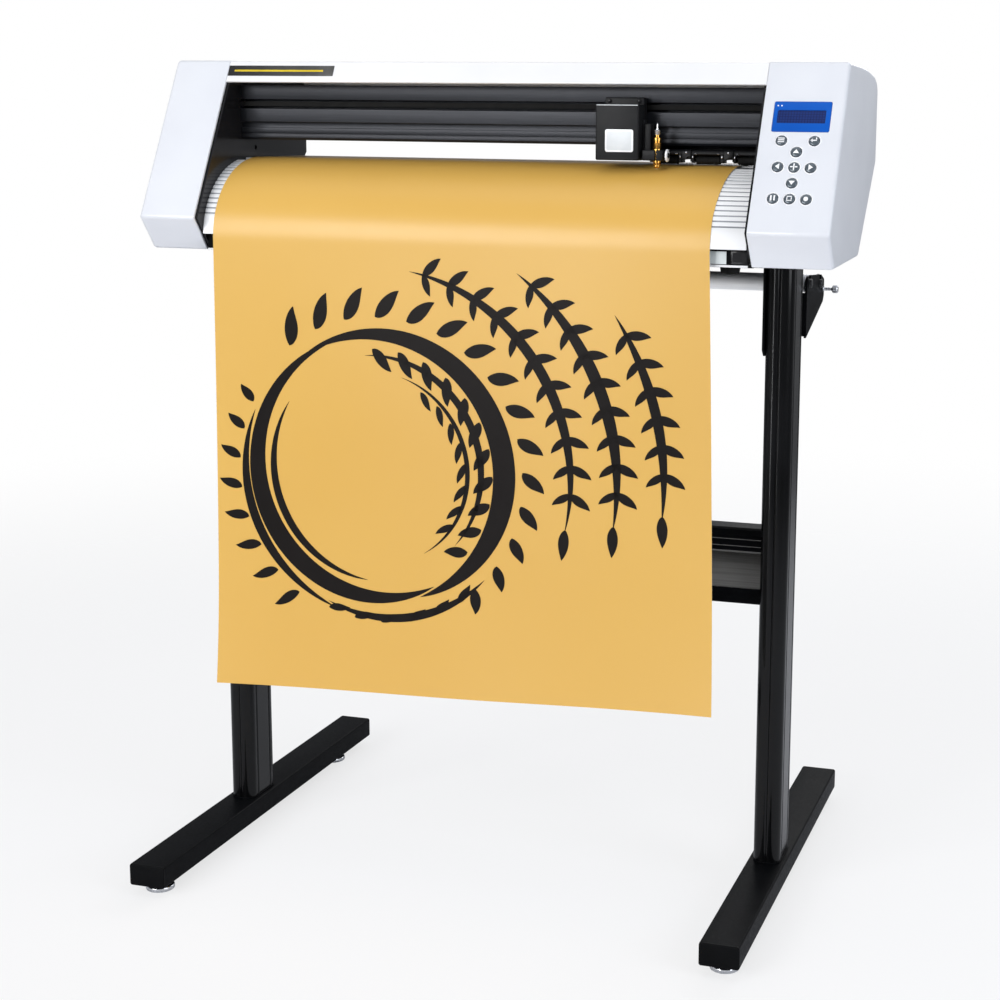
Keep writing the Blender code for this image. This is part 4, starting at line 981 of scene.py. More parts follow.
# display: blue bezel, sunk window, cell glass
bm = prism(rounded(70.0, 40.5, 2.0, 6), -9.0, 0.5, "Z")
bev(bm, 0.5, 3, 50.0)
on_frame(bm, face_frame(403.0, 74.75))
bez = obj_from_bm(bm, "display_bezel", "bezel_blue")
bm = prism(rounded(59.0, 17.6, 1.2, 6), -0.9, 5.0, "Z")
on_frame(bm, face_frame(402.5, 74.8))
boolean(bez, [obj_from_bm(bm, "c", None)])
bm = prism(rounded(58.8, 17.4, 1.1, 6), -0.92, -0.35, "Z")
on_frame(bm, face_frame(402.5, 74.8))
glass = obj_from_bm(bm, "display_glass", "lcd_glass")
place(join_obs([bez, glass], "display_fine"), "root", "display_module")
# two small status lamps printed as raised dots beside the window
for k, xx in enumerate((372.5, 377.0)):
    bm = lathe([(0, 1.0), (0.7, 0.9), (1.0, 0.55), (1.0, 0.4), (0, 0.4)], "Z", (0, 0), 20)
    place(obj_from_bm(on_frame(bm, face_frame(xx, 60.2)), "display_lamp_%d" % k, "icon_white"), "root", ())

# ================================================================== MEDIA FEED
DRUMS = [(-330, -270), (-120, -60), (80, 140), (203, 345)]
prof = [(0, 372.0), (3.6, 372.0), (4.0, 371.4), (4.0, IN_R - 1.0), (6.2, IN_R - 1.0)]
for a, b in reversed(DRUMS):
    prof += [(6.2, b), (ROLLER_R - 0.3, b), (ROLLER_R, b - 0.4), (ROLLER_R, a + 0.4), (ROLLER_R - 0.3, a), (6.2, a)]
prof += [(6.2, IN_L + 1.0), (4.0, IN_L + 1.0), (4.0, -380.55), (3.6, -381.15), (0, -381.15)]
place(lathe_obj("grit_roller_fine", prof, "X", (ROLLER_Y, ROLLER_Z), "knurled_steel", 56), "grit_roller", "grit_roller")

PR_R, PR_Y = 5.0, ROLLER_Y
PR_Z = 949.6 + PR_R
for tag, x0 in (("a", 190.4), ("b", 244.2), ("c", 298.0)):
    x1 = min(x0 + 52.8, IN_R - 0.4)
    side_prof = [(-64.0, 953.0), (-64.0, 966.0), (-60.0, 967.6), (-44.0, 967.6), (-34.0, 966.6), (-34.0, 953.0)]
    hook = obj_from_bm(bev(prism(fillet(side_prof, [0.5, 2.5, 2.5, 2, 1, 0.5], 4), x0, x0 + 11.4), 0.4, 2, 60), "hook", "abs_black")
    wedge = prism([(x0 - 0.8, 945.0), (x0 + 11.0, 945.0), (x0 + 11.0, 960.6), (x0 - 0.8, 954.6)], -70.0, -28.0, "Y")
    boolean(hook, [obj_from_bm(wedge, "c", None)])
    body_prof = [(-62.0, 961.2), (-60.5, 965.8), (-56.0, 967.2), (-8.0, 967.4), (-4.2, 964.5), (-4.2, 957.5), (-8.0, 954.6), (-36.0, 956.0), (-45.2, 961.2)]
    bod = obj_from_bm(prism(fillet(body_prof, [1.5, 2, 2, 2, 2, 2, 2, 3, 2], 4), x0 + 11.2, x1), "bod", "abs_black")
    chk = [obj_from_bm(bev(prism(fillet([(-61.0, 951.5), (-61.0, 964.0), (-45.0, 964.0), (-43.0, 956.0), (-43.0, 951.5)], [1, 1, 1, 2, 1], 3), xa, xb), 0.4, 2, 60), "chk", "abs_black")
           for xa, xb in ((x0 + 11.5, x0 + 14.4), (x1 - 4.0, x1))]
    # coil spring, adjusting screw and e-clip ends: the bright specks under each unit
    bits = []
    for sx in (x0 + 15.6, x1 - 8.0):
        helix = [(sx + 3.2 * k / 47, -61.4 + 1.1 * math.cos(math.tau * k / 12), 962.6 + 1.1 * math.sin(math.tau * k / 12)) for k in range(48)]
        bits.append(obj_from_bm(sweep(helix, 0.26, 6), "spring", "steel_bright"))
    for sx, sz in ((x0 + 12.9, 958.6), (x1 - 2.0, 958.6), (x0 + 5.7, 964.0)):
        at = -61.0 if sx != x0 + 5.7 else -64.0
        bits.append(obj_from_bm(lathe([(0, at - 0.9), (0.8, at - 0.85), (1.25, at - 0.5), (1.35, at - 0.02), (0, at - 0.02)], "Y", (sx, sz), 20), "scr", "steel_bright"))
    o = join_obs([hook, bod] + chk + bits, "pinch_unit_" + tag)
    place(o, "pinch_arm_" + tag, "pinch_arm_" + tag)
    rp = [(0, x1 - 1.0), (1.5, x1 - 1.0), (1.5, x1 - 6.0), (PR_R - 0.6, x1 - 6.0), (PR_R, x1 - 6.7)]
    xx = x1 - 6.7
    while xx - 3.4 > x0 + 18.0:
        rp += [(PR_R, xx - 2.6), (PR_R - 0.28, xx - 2.8), (PR_R - 0.28, xx - 3.2), (PR_R, xx - 3.4)]
        xx -= 3.4
    rp += [(PR_R, x0 + 17.0), (PR_R - 0.6, x0 + 16.2), (1.5, x0 + 16.2), (1.5, x0 + 12.0), (0, x0 + 12.0)]
    place(lathe_obj("pinch_tyre_" + tag, rp, "X", (PR_Y, PR_Z), "rubber_black", 36), "pinch_roller_" + tag, "pinch_roller_" + tag)

# ================================================================== CARRIAGE
CX0, CX1 = 141.6, 197.2
cov = obj_from_bm(bev(cuboid(CX0, CX1, -98.0, -68.0, 953.6, 1022.4), 1.8, 4), "carriage_cover_fine", "abs_black")
cuts = [obj_from_bm(cuboid(CX0 + 2.0, CX1 - 2.0, -96.0, -50.0, 955.6, 1020.4), "c", None),
        obj_from_bm(cuboid(CX1 - 8, CX1 + 8, -82.0, -40.0, 957.4, 1004.6), "c", None)]
boolean(cov, cuts)
place(cov, "carriage", "carriage_cover")
# light bead along the cover's top front edge
place(rbox("carriage_top_bead", CX0 + 1.2, CX1 - 1.2, -98.35, -97.6, 1020.6, 1021.6, 0.3, "panel_grey"), "carriage", ())
# raised plain plate on the front
bm = prism(rounded(36.4, 27.6, 2.6, 8), -98.9, -97.8, "Y")
for v in bm.verts:
    v.co.x += 172.6
    v.co.z += 977.7
bev(bm, 0.35, 3, 50.0)
fr_ = obj_from_bm(bm, "carriage_plate_rim", "ring_white")
bm = prism(rounded(32.2, 23.4, 1.8, 8), -99.05, -98.7, "Y")
for v in bm.verts:
    v.co.x += 172.6
    v.co.z += 977.7
bev(bm, 0.12, 2, 50.0)
fi_ = obj_from_bm(bm, "carriage_plate_field", "panel_grey")
place(join_obs([fr_, fi_], "carriage_plate"), "carriage", ())

parts = [obj_from_bm(bev(cuboid(146.0, 194.5, -90.0, -68.2, 957.0, 1018.0), 1.0, 2), "b", "abs_black"),
         obj_from_bm(bev(cuboid(145.0, 195.0, -72.0, -52.7, 976.5, 1017.0), 1.0, 2), "b", "abs_black"),
         obj_from_bm(bev(cuboid(144.6, 195.4, -67.4, -52.8, 1008.0, 1031.0), 1.6, 3), "b", "abs_black"),
         obj_from_bm(cuboid(150.0, 190.0, -56.0, -44.9, 1014.3, 1024.2), "b", "abs_black"),
         obj_from_bm(bev(cuboid(193.0, 200.2, -80.5, -70.5, 958.0, 1004.0), 0.6, 2), "b", "abs_black")]
body0 = parts[0]
boolean(body0, parts[1:4], "UNION")
belt_f = -42.0 - 5.5 - 0.35 - 1.1
boolean(body0, [obj_from_bm(cuboid(100.0, 240.0, belt_f - 0.35, belt_f + 1.45, 1015.9, 1022.5), "c", None)])
place(join_obs([body0, parts[4]], "carriage_body_fine"), "carriage", "carriage_body")
# screws on the carriage head
for k, (xx, zz) in enumerate(((150.5, 1026.5), (189.5, 1026.5))):
    h = lathe([(0, -69.6), (1.6, -69.5), (2.5, -69.0), (2.8, -68.2), (2.8, -67.45), (0, -67.45)], "Y", (xx, zz), 24)
    place(obj_from_bm(h, "carriage_screw_%d" % k, "glossy_black"), "carriage", ())

# tool slider: arm, split clamp ring and back plate
arm = obj_from_bm(bev(cuboid(200.8, 226.5, -94.0, -76.5, 953.8, 967.0), 1.6, 3), "tool_slider_arm", "abs_black")
back = obj_from_bm(bev(cuboid(200.8, 209.5, -84.0, -68.5, 955.5, 999.0), 1.2, 3), "b", "abs_black")
boolean(arm, [back], "UNION")
boolean(arm, [obj_from_bm(lathe([(0, 940), (5.6, 940), (5.6, 1010), (0, 1010)], "Z", (TOOL_X, TOOL_Y), 48), "c", None),
              obj_from_bm(lathe([(0, 224.6), (2.0, 224.6), (2.0, 240), (0, 240)], "X", (-85.0, 960.2), 24), "c", None),
              obj_from_bm(cuboid(216.9, 219.1, -97.0, -88.0, 950.0, 970.0), "c", None)])
place(arm, "tool_holder", "tool_slider")

prof = [(1.35, 991.6), (4.3, 991.6), (4.7, 991.2)]
for k in range(9):
    prof.append((4.7 - (0.35 if k % 2 else 0), 990.8 - 0.55 * k))
prof += [(4.3, 985.6), (2.9, 985.5), (2.9, 982.3), (4.6, 982.2), (5.1, 981.6), (5.2, 981.0), (5.2, 978.2), (4.6, 977.6), (4.6, 976.2), (5.2, 975.6)]
for k in range(14):
    prof.append((5.2 - (0.28 if k % 2 else 0), 974.8 - 0.5 * k))
prof += [(5.2, 967.4), (5.2, 952.4), (4.7, 951.8), (4.7, 950.8), (5.2, 950.2), (5.1, 949.4), (4.2, 948.6), (4.2, 946.6), (2.2, 944.5), (1.35, 944.4)]
hold = lathe_obj("blade_holder_fine", prof, "Z", (TOOL_X, TOOL_Y), ["brass", "steel_bright"], 48, closed=True)
for p in hold.data.polygons:
    if p.center.z > 0.9850:
        p.material_index = 1
place(hold, "tool_holder", "blade_holder")
bl = lathe_obj("blade_fine", [(0, 1000.0), (0.6, 999.9), (0.95, 999.4), (0.95, 993.2), (1.9, 993.1), (2.0, 992.9), (2.0, 992.2), (0.95, 992.0), (0.95, 944.6), (0.2, 942.9), (0, 942.9)],
               "Z", (TOOL_X, TOOL_Y), "chrome", 24)
place(bl, "blade", "blade")

# clamp knob: dark hub carrying a thin white finger disc with scallops
hub = obj_from_bm(lathe([(0, 233.6), (2.6, 233.5), (3.2, 233.0), (3.4, 231.6), (3.4, 227.0), (1.7, 226.9), (1.7, 225.2), (0, 225.2)], "X", (-85.0, 960.2), 40), "hub", "abs_black")
bm = lathe([(3.3, 232.2), (6.9, 232.3), (7.7, 231.8), (7.95, 231.0), (7.7, 230.2), (6.9, 229.7), (3.3, 229.8)], "X", (-85.0, 960.2), 72, closed=True)
for v in bm.verts:
    dy, dz = v.co.y + 85.0, v.co.z - 960.2
    r = math.hypot(dy, dz)
    if r > 6.0:
        a = math.atan2(dz, dy)
        f = 1.0 - 0.045 * max(0.0, math.cos(a * 12)) ** 2
        v.co.y, v.co.z = -85.0 + dy * f, 960.2 + dz * f
disc = obj_from_bm(bm, "disc", "ring_white", 45.0)
place(join_obs([hub, disc], "clamp_knob_fine"), "tool_clamp_knob", "tool_clamp_knob")

# ================================================================== REAR: inlet, switch, vents
inl = obj_from_bm(bev(cuboid(250.0, 278.0, 92.0, 101.6, 852.0, 872.0), 0.8, 3), "power_inlet_fine", "abs_black")
boolean(inl, [obj_from_bm(prism(fillet([(253.0, 855.0), (275.0, 855.0), (275.0, 866.0), (271.0, 869.0), (257.0, 869.0), (253.0, 866.0)], 0.8, 4), 95.0, 110.0, "Y"), "c", None)])
pins = []
for px, pz in ((258.5, 860.5), (264.0, 864.0), (269.5, 860.5)):
    pins.append(obj_from_bm(bev(cuboid(px - 0.9, px + 0.9, 94.0, 100.0, pz - 1.9, pz + 1.9), 0.3, 2), "pin", "brass"))
place(join_obs([inl] + pins, "power_inlet_with_pins"), "root", "power_inlet")
swp = fillet([(97.0, 854.0), (97.0, 870.0), (103.6, 870.0), (101.4, 862.0), (101.2, 854.0)], [0.5, 0.5, 1.0, 6.0, 1.0], 5)
sw = obj_from_bm(bev(prism(swp, 294.5, 307.5), 0.5, 2, 60), "power_switch_rocker", "glossy_black")
place(sw, "power_switch", "power_switch")
fr_ = obj_from_bm(bev(cuboid(291.2, 310.8, 100.1, 101.0, 849.2, 874.8), 0.4, 2), "switch_frame", "abs_black")
boolean(fr_, [obj_from_bm(cuboid(293.4, 308.6, 95.0, 105.0, 851.4, 872.6), "c", None)])
place(fr_, "root", ())


# pan-head screw with a cross recess, seated on a face
def pan_screw(name, axis, c, at, d, r=3.0, mat="steel_bright", body="root"):
    prof = [(0, at + d * 0.62 * r), (0.45 * r, at + d * 0.58 * r), (0.8 * r, at + d * 0.42 * r), (0.97 * r, at + d * 0.18 * r), (r, at + d * 0.02), (0, at + d * 0.02)]
    ho = obj_from_bm(lathe(prof, axis, c, 28), name, mat)
    lo, hi = sorted((at + d * 0.30 * r, at + d * 0.9 * r))
    cuts = []
    for w, h in ((0.62 * r, 0.13 * r), (0.13 * r, 0.62 * r)):
        cuts.append(obj_from_bm(prism([(c[0] - w, c[1] - h), (c[0] + w, c[1] - h), (c[0] + w, c[1] + h), (c[0] - w, c[1] + h)], lo, hi, axis), "c", None))
    boolean(ho, cuts)
    place(ho, body, ())


for k in range(6):
    pan_screw("cover_rear_screw_%d" % k, "Y", (-340.0 + 132.0 * k, 992.0), 144.25, 1, 2.6)
for k in range(5):
    pan_screw("tray_rear_screw_%d" % k, "Y", (-350.0 + 172.0 * k, 898.0), 100.0, 1, 2.4)
# louvre field pressed into the tray's rear wall
for k in range(18):
    x0_ = -190.0 + 11.0 * k
    lv = prism(fillet([(100.05, 846.0), (101.3, 848.0), (101.3, 878.0), (100.05, 880.0)], [0.1, 0.8, 0.8, 0.1], 3), x0_, x0_ + 5.0)
    place(obj_from_bm(bev(lv, 0.3, 2, 60.0), "rear_louvre_%02d" % k, "cap_black"), "root", ())
# blank rating plate and two data sockets
bm = prism(rounded(58.0, 24.0, 2.0, 6), 100.05, 100.55, "Y")
for v in bm.verts:
    v.co.x += 190.0
    v.co.z += 866.0
bev(bm, 0.15, 2, 50.0)
place(obj_from_bm(bm, "rating_plate_blank", "label_plain"), "root", ())
for nm, xa, xb, za, zb, sh in (("socket_square", 118.0, 131.0, 858.0, 871.0, "rubber_black"), ("socket_wide", 60.0, 94.0, 858.0, 871.0, "rubber_black")):
    shell = obj_from_bm(bev(cuboid(xa, xb, 99.6, 102.4, za, zb), 0.7, 3), nm, "steel_bright")
    boolean(shell, [obj_from_bm(bev(cuboid(xa + 1.6, xb - 1.6, 100.8, 106.0, za + 1.8, zb - 1.8), 0.5, 2), "c", None)])
    core = obj_from_bm(bev(cuboid(xa + 3.4, xb - 3.4, 100.6, 102.0, (za + zb) / 2 - 1.6, (za + zb) / 2 + 1.6), 0.3, 2), nm + "_core", "rubber_black")
    place(join_obs([shell, core], nm + "_fine"), "root", ())
    for q, xx in enumerate((xa - 4.2, xb + 4.2)):
        hexn = prism([(xx + 2.3 * math.cos(math.tau * t / 6), (za + zb) / 2 + 2.3 * math.sin(math.tau * t / 6)) for t in range(6)], 100.05, 102.6, "Y")
        place(obj_from_bm(bev(hexn, 0.3, 2, 25.0), "%s_nut_%d" % (nm, q), "steel_bright"), "root", ())
# screws that would hold each end cover, low on its rear slope; the loop below builds none
for side, xs in (("left", (-436.0, -396.0)), ("right", (378.0, 430.0))):
    for k, xx in enumerate(xs):
        pan_screw("%s_cover_screw_%d" % (side, k), "Y", (xx, 1000.0), 144.9, 1, 2.4) if False else None

# ================================================================== MEDIA: gold film
def film_profile():
    """Points (y, z) of the film's lower face from its tail behind the roller to its hanging end."""
    pts = [(96.0 - 6.0 * k, 948.5) for k in range(22)]
    for k in range(45):
        pts.append(ellipse_pt(math.radians(90.0 * k / 44), 0.5))
    z = 845.0 - 6.0
    while z > 258.0 + 3.0:
        pts.append((PL_Y - PL_A - 0.5, z))
        z -= 8.0
    pts.append((PL_Y - PL_A - 0.5, 258.0))
    return pts


SX0, SX1 = -358.0, 314.0
NX = 84
fp = film_profile()
T = 0.34


def film_sag(x, z):
    """Small standing waves of a free-hanging film: none on the platen, more towards the free end."""
    d = max(0.0, 845.0 - z)
    u = (x - SX0) / (SX1 - SX0)
    w = min(1.0, d / 260.0)
    w = w * w * (3 - 2 * w)
    bow = -5.5 * w * (math.sin(math.pi * u) ** 2)
    wave = 1.3 * w * math.sin(2.2 * math.tau * u + 0.6) * math.cos(d / 300.0)
    e = min(1.0, d / 587.0)
    curl = 7.0 * e ** 3 * ((2 * u - 1) ** 4)
    tail = -6.0 * max(0.0, (d - 430.0) / 157.0) ** 2
    return bow + wave - curl + tail


def film_xz(u, z, i):
    """The web runs a little out of square: its edges drift and its cut end slopes."""
    d = min(1.0, max(0.0, 845.0 - z) / 587.0)
    x0 = SX0 + 1.0 - 5.0 * d
    x1 = SX1 - 7.5 * min(1.0, max(0, i - 24) / 30.0) + 16.0 * d
    end = (z - 258.0) / 587.0
    lift = (-7.0 + 22.0 * u) * max(0.0, 1.0 - max(0.0, end) * 6.0) if z < 845.0 else 0.0
    return x0 + (x1 - x0) * u, z + lift


bm = bmesh.new()
rows_f, rows_b = [], []
for i, (y, fz) in enumerate(fp):
    a = fp[max(0, i - 1)]
    b = fp[min(len(fp) - 1, i + 1)]
    ty, tz = b[0] - a[0], b[1] - a[1]
    l = math.hypot(ty, tz)
    ny, nz = tz / l, -ty / l          # outwards: up on the table, forwards when hanging
    rf, rb = [], []
    for k in range(NX + 1):
        x, z = film_xz(k / NX, fz, i)
        dy = film_sag(x, z)
        rb.append(bm.verts.new((x, y + dy, z)))
        rf.append(bm.verts.new((x, y + dy + ny * T, z + nz * T)))
    rows_f.append(rf)
    rows_b.append(rb)
for i in range(len(fp) - 1):
    for k in range(NX):
        f = bm.faces.new((rows_f[i][k], rows_f[i + 1][k], rows_f[i + 1][k + 1], rows_f[i][k + 1]))
        f.material_index = 0
        f = bm.faces.new((rows_b[i][k], rows_b[i][k + 1], rows_b[i + 1][k + 1], rows_b[i + 1][k]))
        f.material_index = 1
for i in range(len(fp) - 1):
    for k in (0, NX):
        f = bm.faces.new((rows_f[i][k], rows_b[i][k], rows_b[i + 1][k], rows_f[i + 1][k]))
        f.material_index = 1
for k in range(NX):
    for i in (0, len(fp) - 1):
        f = bm.faces.new((rows_f[i][k], rows_f[i][k + 1], rows_b[i][k + 1], rows_b[i][k]))
        f.material_index = 1
film = obj_from_bm(bm, "gold_film", ["vinyl_gold", "liner_paper"], 60.0)
place(film, "root", "vinyl_sheet")


# ---- ornament cut from black film: plain leaf wreath with laurel branches, own design
def film_front(x, z):
    return PL_Y - PL_A - 0.5 + film_sag(x, z) - T


STROKES = []
LIFT = 38.0


def bez(p0, p1, p2, p3, t):
    a = (1 - t)
    return (a ** 3 * p0[0] + 3 * a * a * t * p1[0] + 3 * a * t * t * p2[0] + t ** 3 * p3[0],
            a ** 3 * p0[1] + 3 * a * a * t * p1[1] + 3 * a * t * t * p2[1] + t ** 3 * p3[1])


def stroke(points, widths):
    """Tapered brush stroke through centre points (x, z), with left and right half widths."""
    STROKES.append(([(p[0], p[1] + LIFT) for p in points], widths))


def arc_stroke(cx, cz, r0, r1, a0, a1, wl, n=48, peak=0.5, power=0.8):
    pts, ws = [], []
    for k in range(n + 1):
        t = k / n
        a = math.radians(a0 + (a1 - a0) * t)
        r = r0 + (r1 - r0) * t
        pts.append((cx + r * math.cos(a), cz + r * math.sin(a)))
        s = (t / peak) if t < peak else (1 - t) / (1 - peak)
        ws.append(max(0.0, wl * math.sin(math.pi / 2 * max(0.0, min(1.0, s))) ** power))
    stroke(pts, ws)


def bez_stroke(p0, p1, p2, p3, w, n=48, peak=0.4, power=0.9):
    pts, ws = [], []
    for k in range(n + 1):
        t = k / n
        pts.append(bez(p0, p1, p2, p3, t))
        s = (t / peak) if t < peak else (1 - t) / (1 - peak)
        ws.append(max(0.0, w * math.sin(math.pi / 2 * max(0.0, min(1.0, s))) ** power))
    stroke(pts, ws)


def leaf(cx, cz, ang, length, width, bend=0.25):
    """Pointed leaf starting at (cx, cz)."""
    c, s = math.cos(ang), math.sin(ang)
    n = 18
    pts, ws = [], []
    for k in range(n + 1):
        t = k / n
        u, v = length * t, bend * length * math.sin(math.pi * t * 0.5) ** 2
        pts.append((cx + u * c - v * s, cz + u * s + v * c))
        ws.append(width * 0.5 * math.sin(math.pi * t ** 0.8) ** 0.85)
    stroke(pts, ws)


OC = (-128.0, 516.0)


def along_ring(deg, r):
    a = math.radians(deg)
    return OC[0] + r * math.cos(a), OC[1] + r * math.sin(a), a


# main ring: crescents of different weight that chase each other round the circle
arc_stroke(OC[0], OC[1], 178, 172, 124, -70, 15.0, 80, 0.62)
arc_stroke(OC[0], OC[1], 166, 176, -62, -250, 13.0, 80, 0.42)
arc_stroke(OC[0], OC[1], 150, 140, 96, -40, 5.0, 64, 0.5)
arc_stroke(OC[0], OC[1], 196, 188, 252, 158, 6.5, 56, 0.5)
arc_stroke(OC[0], OC[1], 146, 150, -96, -214, 5.5, 56, 0.5)
arc_stroke(OC[0], OC[1], 198, 192, -42, -112, 5.5, 56, 0.5)
# outer leaves: large and swept on the right, small at the lower left
for k in range(15):
    x, z, a = along_ring(128 - 12.5 * k, 199.0)
    leaf(x, z, a - math.radians(58), 50.0 - 1.3 * k, 19.0 - 0.3 * k, 0.24)
for k in range(8):
    x, z, a = along_ring(236 - 11.5 * k, 205.0 - 1.5 * k)
    leaf(x, z, a - math.radians(42), 40.0 - 1.8 * k, 13.0, 0.25)
for k in range(6):
    x, z, a = along_ring(-56 - 11.0 * k, 200.0)
    leaf(x, z, a + math.radians(126), 30.0, 10.0, -0.2)
# inner leaves on the right-hand half, two rows
for k in range(11):
    x, z, a = along_ring(92 - 13.0 * k, 158.0)
    leaf(x, z, a - math.radians(126), 38.0 - 0.6 * k, 14.0, -0.22)
for k in range(8):
    x, z, a = along_ring(60 - 13.0 * k, 122.0)
    leaf(x, z, a - math.radians(108), 27.0, 9.0, -0.2)
arc_stroke(OC[0], OC[1], 128, 122, 74, -58, 3.2, 56, 0.5)
# three laurel branches on wider circles, to the right of the wreath
for rr, d0, d1, w in ((262, 80, -14, 7.0), (322, 54, -10, 8.0), (382, 34, -6, 6.5)):
    arc_stroke(OC[0], OC[1], rr, rr, d0, d1, w, 64, 0.5)
    step = math.degrees(36.0 / rr)
    for k in range(int((d0 - d1 - 6) / step)):
        x, z, a = along_ring(d0 - 4 - step * k, rr)
        leaf(x, z, a - math.radians(48), 32.0, 12.0, 0.22)
        leaf(x, z, a - math.radians(132), 28.0, 10.0, -0.22)
    x, z, a = along_ring(d1 + 1.0, rr)
    leaf(x, z, a - math.radians(90), 40.0, 14.0, 0.1)

bm = bmesh.new()
TH = 0.16
for pts, ws in STROKES:
    n = len(pts)
    L, R = [], []
    for i in range(n):
        a, b = pts[max(0, i - 1)], pts[min(n - 1, i + 1)]
        dx, dz = b[0] - a[0], b[1] - a[1]
        l = math.hypot(dx, dz) or 1.0
        nx, nz = -dz / l, dx / l
        w = max(ws[i], 0.12)
        L.append((pts[i][0] + nx * w, pts[i][1] + nz * w))
        R.append((pts[i][0] - nx * w, pts[i][1] - nz * w))
    quads = []
    M = 2 if max(ws) < 8 else 4
    grid = []
    for i in range(n):
        row = []
        for j in range(M + 1):
            f = j / M
            x = L[i][0] + (R[i][0] - L[i][0]) * f
            z = L[i][1] + (R[i][1] - L[i][1]) * f
            row.append((x, z))
        grid.append(row)
    top = [[bm.verts.new((x, film_front(x, z) - 0.05 - TH, z)) for x, z in row] for row in grid]
    bot = [[bm.verts.new((x, film_front(x, z) - 0.05, z)) for x, z in row] for row in grid]
    for i in range(n - 1):
        for j in range(M):
            bm.faces.new((top[i][j], top[i + 1][j], top[i + 1][j + 1], top[i][j + 1]))
            bm.faces.new((bot[i][j], bot[i][j + 1], bot[i + 1][j + 1], bot[i + 1][j]))
        for j in (0, M):
            bm.faces.new((top[i][j], bot[i][j], bot[i + 1][j], top[i + 1][j]))
    for i in (0, n - 1):
        for j in range(M):
            bm.faces.new((top[i][j], top[i][j + 1], bot[i][j + 1], bot[i][j]))
orn = obj_from_bm(bm, "film_ornament", "vinyl_black", 60.0)
place(orn, "root", ())

# ================================================================== STAGE
bm = bmesh.new()
bmesh.ops.create_circle(bm, cap_ends=True, radius=9000.0, segments=96)
floor = obj_from_bm(bm, "floor", None, 0)
floor.location.z = -0.0006
fm = bpy.data.materials.new("floor")
fm.use_nodes = True
nt = fm.node_tree
bs = next(n for n in nt.nodes if n.type == "BSDF_PRINCIPLED")
outn = next(n for n in nt.nodes if n.type == "OUTPUT_MATERIAL")
bs.inputs["Base Color"].default_value = (0.74, 0.75, 0.78, 1)
bs.inputs["Roughness"].default_value = 0.7
bs.inputs["Specular IOR Level"].default_value = 0.15
tc = nt.nodes.new("ShaderNodeTexCoord")
ln = nt.nodes.new("ShaderNodeVectorMath")
ln.operation = "LENGTH"
nt.links.new(tc.outputs["Object"], ln.inputs[0])
mr = nt.nodes.new("ShaderNodeMapRange")
mr.interpolation_type = "SMOOTHSTEP"
mr.inputs["From Min"].default_value = 1.1
mr.inputs["From Max"].default_value = 3.4
nt.links.new(ln.outputs["Value"], mr.inputs["Value"])
tr = nt.nodes.new("ShaderNodeBsdfTransparent")
mx = nt.nodes.new("ShaderNodeMixShader")
nt.links.new(mr.outputs["Result"], mx.inputs["Fac"])
em = nt.nodes.new("ShaderNodeEmission")
em.inputs["Color"].default_value = (1, 1, 1, 1)
em.inputs["Strength"].default_value = 1.02
lpf = nt.nodes.new("ShaderNodeLightPath")
half = nt.nodes.new("ShaderNodeMath")
half.operation = "MULTIPLY"
half.inputs[1].default_value = 0.70
nt.links.new(lpf.outputs["Is Camera Ray"], half.inputs[0])
mf = nt.nodes.new("ShaderNodeMixShader")
nt.links.new(half.outputs["Value"], mf.inputs["Fac"])
nt.links.new(bs.outputs["BSDF"], mf.inputs[1])
nt.links.new(em.outputs["Emission"], mf.inputs[2])
nt.links.new(mf.outputs["Shader"], mx.inputs[1])
nt.links.new(tr.outputs["BSDF"], mx.inputs[2])
nt.links.new(mx.outputs["Shader"], outn.inputs["Surface"])
floor.data.materials.append(fm)

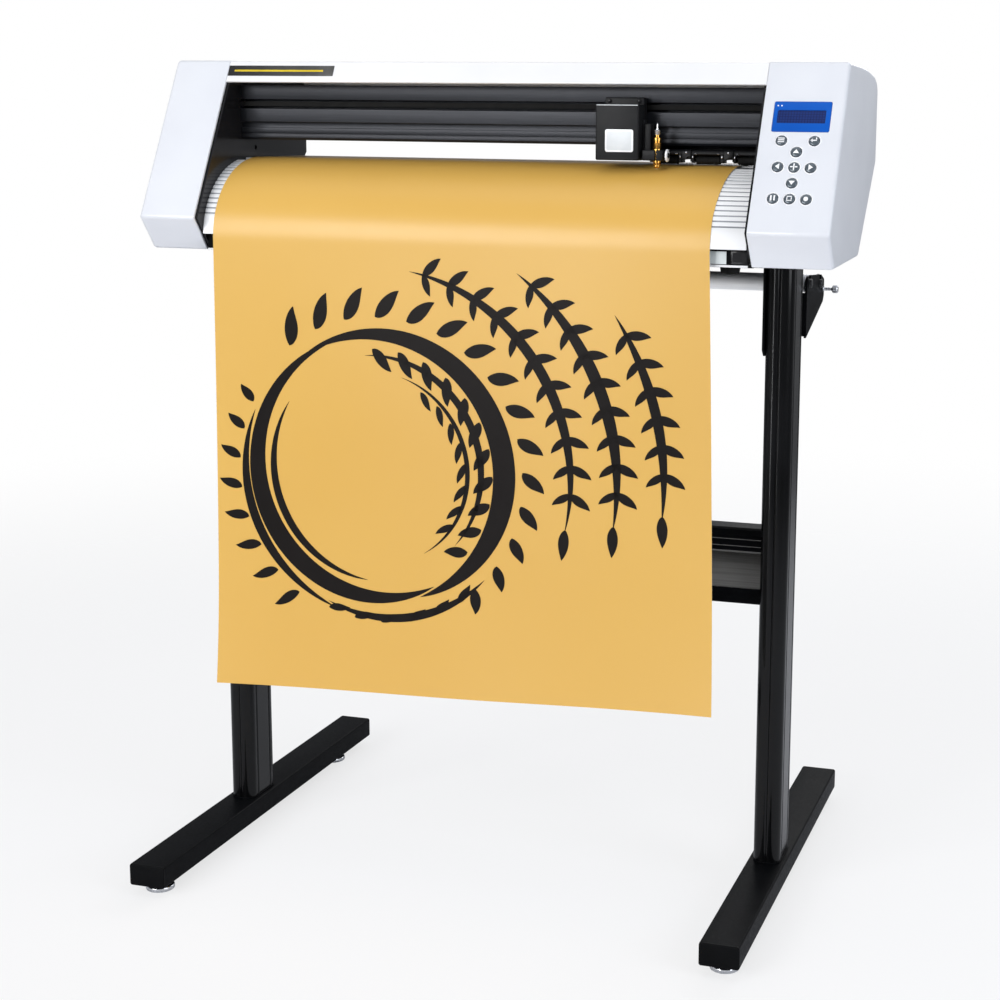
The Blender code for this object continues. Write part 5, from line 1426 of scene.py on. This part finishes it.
world = bpy.data.worlds.new("studio")
scene.world = world
world.use_nodes = True
wt = world.node_tree
wbg = next(n for n in wt.nodes if n.type == "BACKGROUND")
wout = next(n for n in wt.nodes if n.type == "OUTPUT_WORLD")
wbg.inputs["Color"].default_value = (0.93, 0.95, 1.0, 1)
wbg.inputs["Strength"].default_value = 0.42
wtc = wt.nodes.new("ShaderNodeTexCoord")
wsp = wt.nodes.new("ShaderNodeSeparateXYZ")
wt.links.new(wtc.outputs["Generated"], wsp.inputs["Vector"])
wmr = wt.nodes.new("ShaderNodeMapRange")
wmr.interpolation_type = "SMOOTHSTEP"
wmr.inputs["From Min"].default_value = -0.35
wmr.inputs["From Max"].default_value = 0.25
wmr.inputs["To Min"].default_value = 0.10
wmr.inputs["To Max"].default_value = 0.44
wt.links.new(wsp.outputs["Z"], wmr.inputs["Value"])
wt.links.new(wmr.outputs["Result"], wbg.inputs["Strength"])
wb2 = wt.nodes.new("ShaderNodeBackground")
wb2.inputs["Color"].default_value = (1, 1, 1, 1)
wb2.inputs["Strength"].default_value = 1.0
lp = wt.nodes.new("ShaderNodeLightPath")
wm = wt.nodes.new("ShaderNodeMixShader")
wt.links.new(lp.outputs["Is Camera Ray"], wm.inputs["Fac"])
wt.links.new(wbg.outputs["Background"], wm.inputs[1])
wt.links.new(wb2.outputs["Background"], wm.inputs[2])
wt.links.new(wm.outputs["Shader"], wout.inputs["Surface"])


def area(name, loc, target, size, power, color=(1, 1, 1)):
    ld = bpy.data.lights.new(name, "AREA")
    ld.shape = "RECTANGLE"
    ld.size, ld.size_y = size
    ld.energy = power
    ld.color = color
    lo = bpy.data.objects.new(name, ld)
    scene.collection.objects.link(lo)
    lo.location = loc
    d = Vector(target) - Vector(loc)
    lo.rotation_euler = d.to_track_quat("-Z", "Y").to_euler()
    return lo


area("key", (-1.4, -3.2, 1.9), (0, -0.1, 0.75), (2.0, 1.6), 78, (1.0, 0.99, 0.98))
area("fill", (3.1, -1.2, 1.5), (0, 0, 0.7), (1.6, 2.0), 46, (0.93, 0.96, 1.0))
area("top", (0.2, -0.2, 3.6), (0, 0, 0.4), (2.6, 2.2), 18)
area("strip", (-0.9, -3.3, 0.75), (0.35, 0.0, 0.6), (0.10, 1.9), 14, (0.97, 0.98, 1.0))
under = area("under", (0.32, -0.12, 0.60), (0.32, 0.06, 0.80), (0.40, 0.08), 0.38)
under.visible_camera = False
under.visible_glossy = False
area("back", (0.6, 3.0, 2.2), (0, 0, 0.6), (2.6, 1.4), 34)
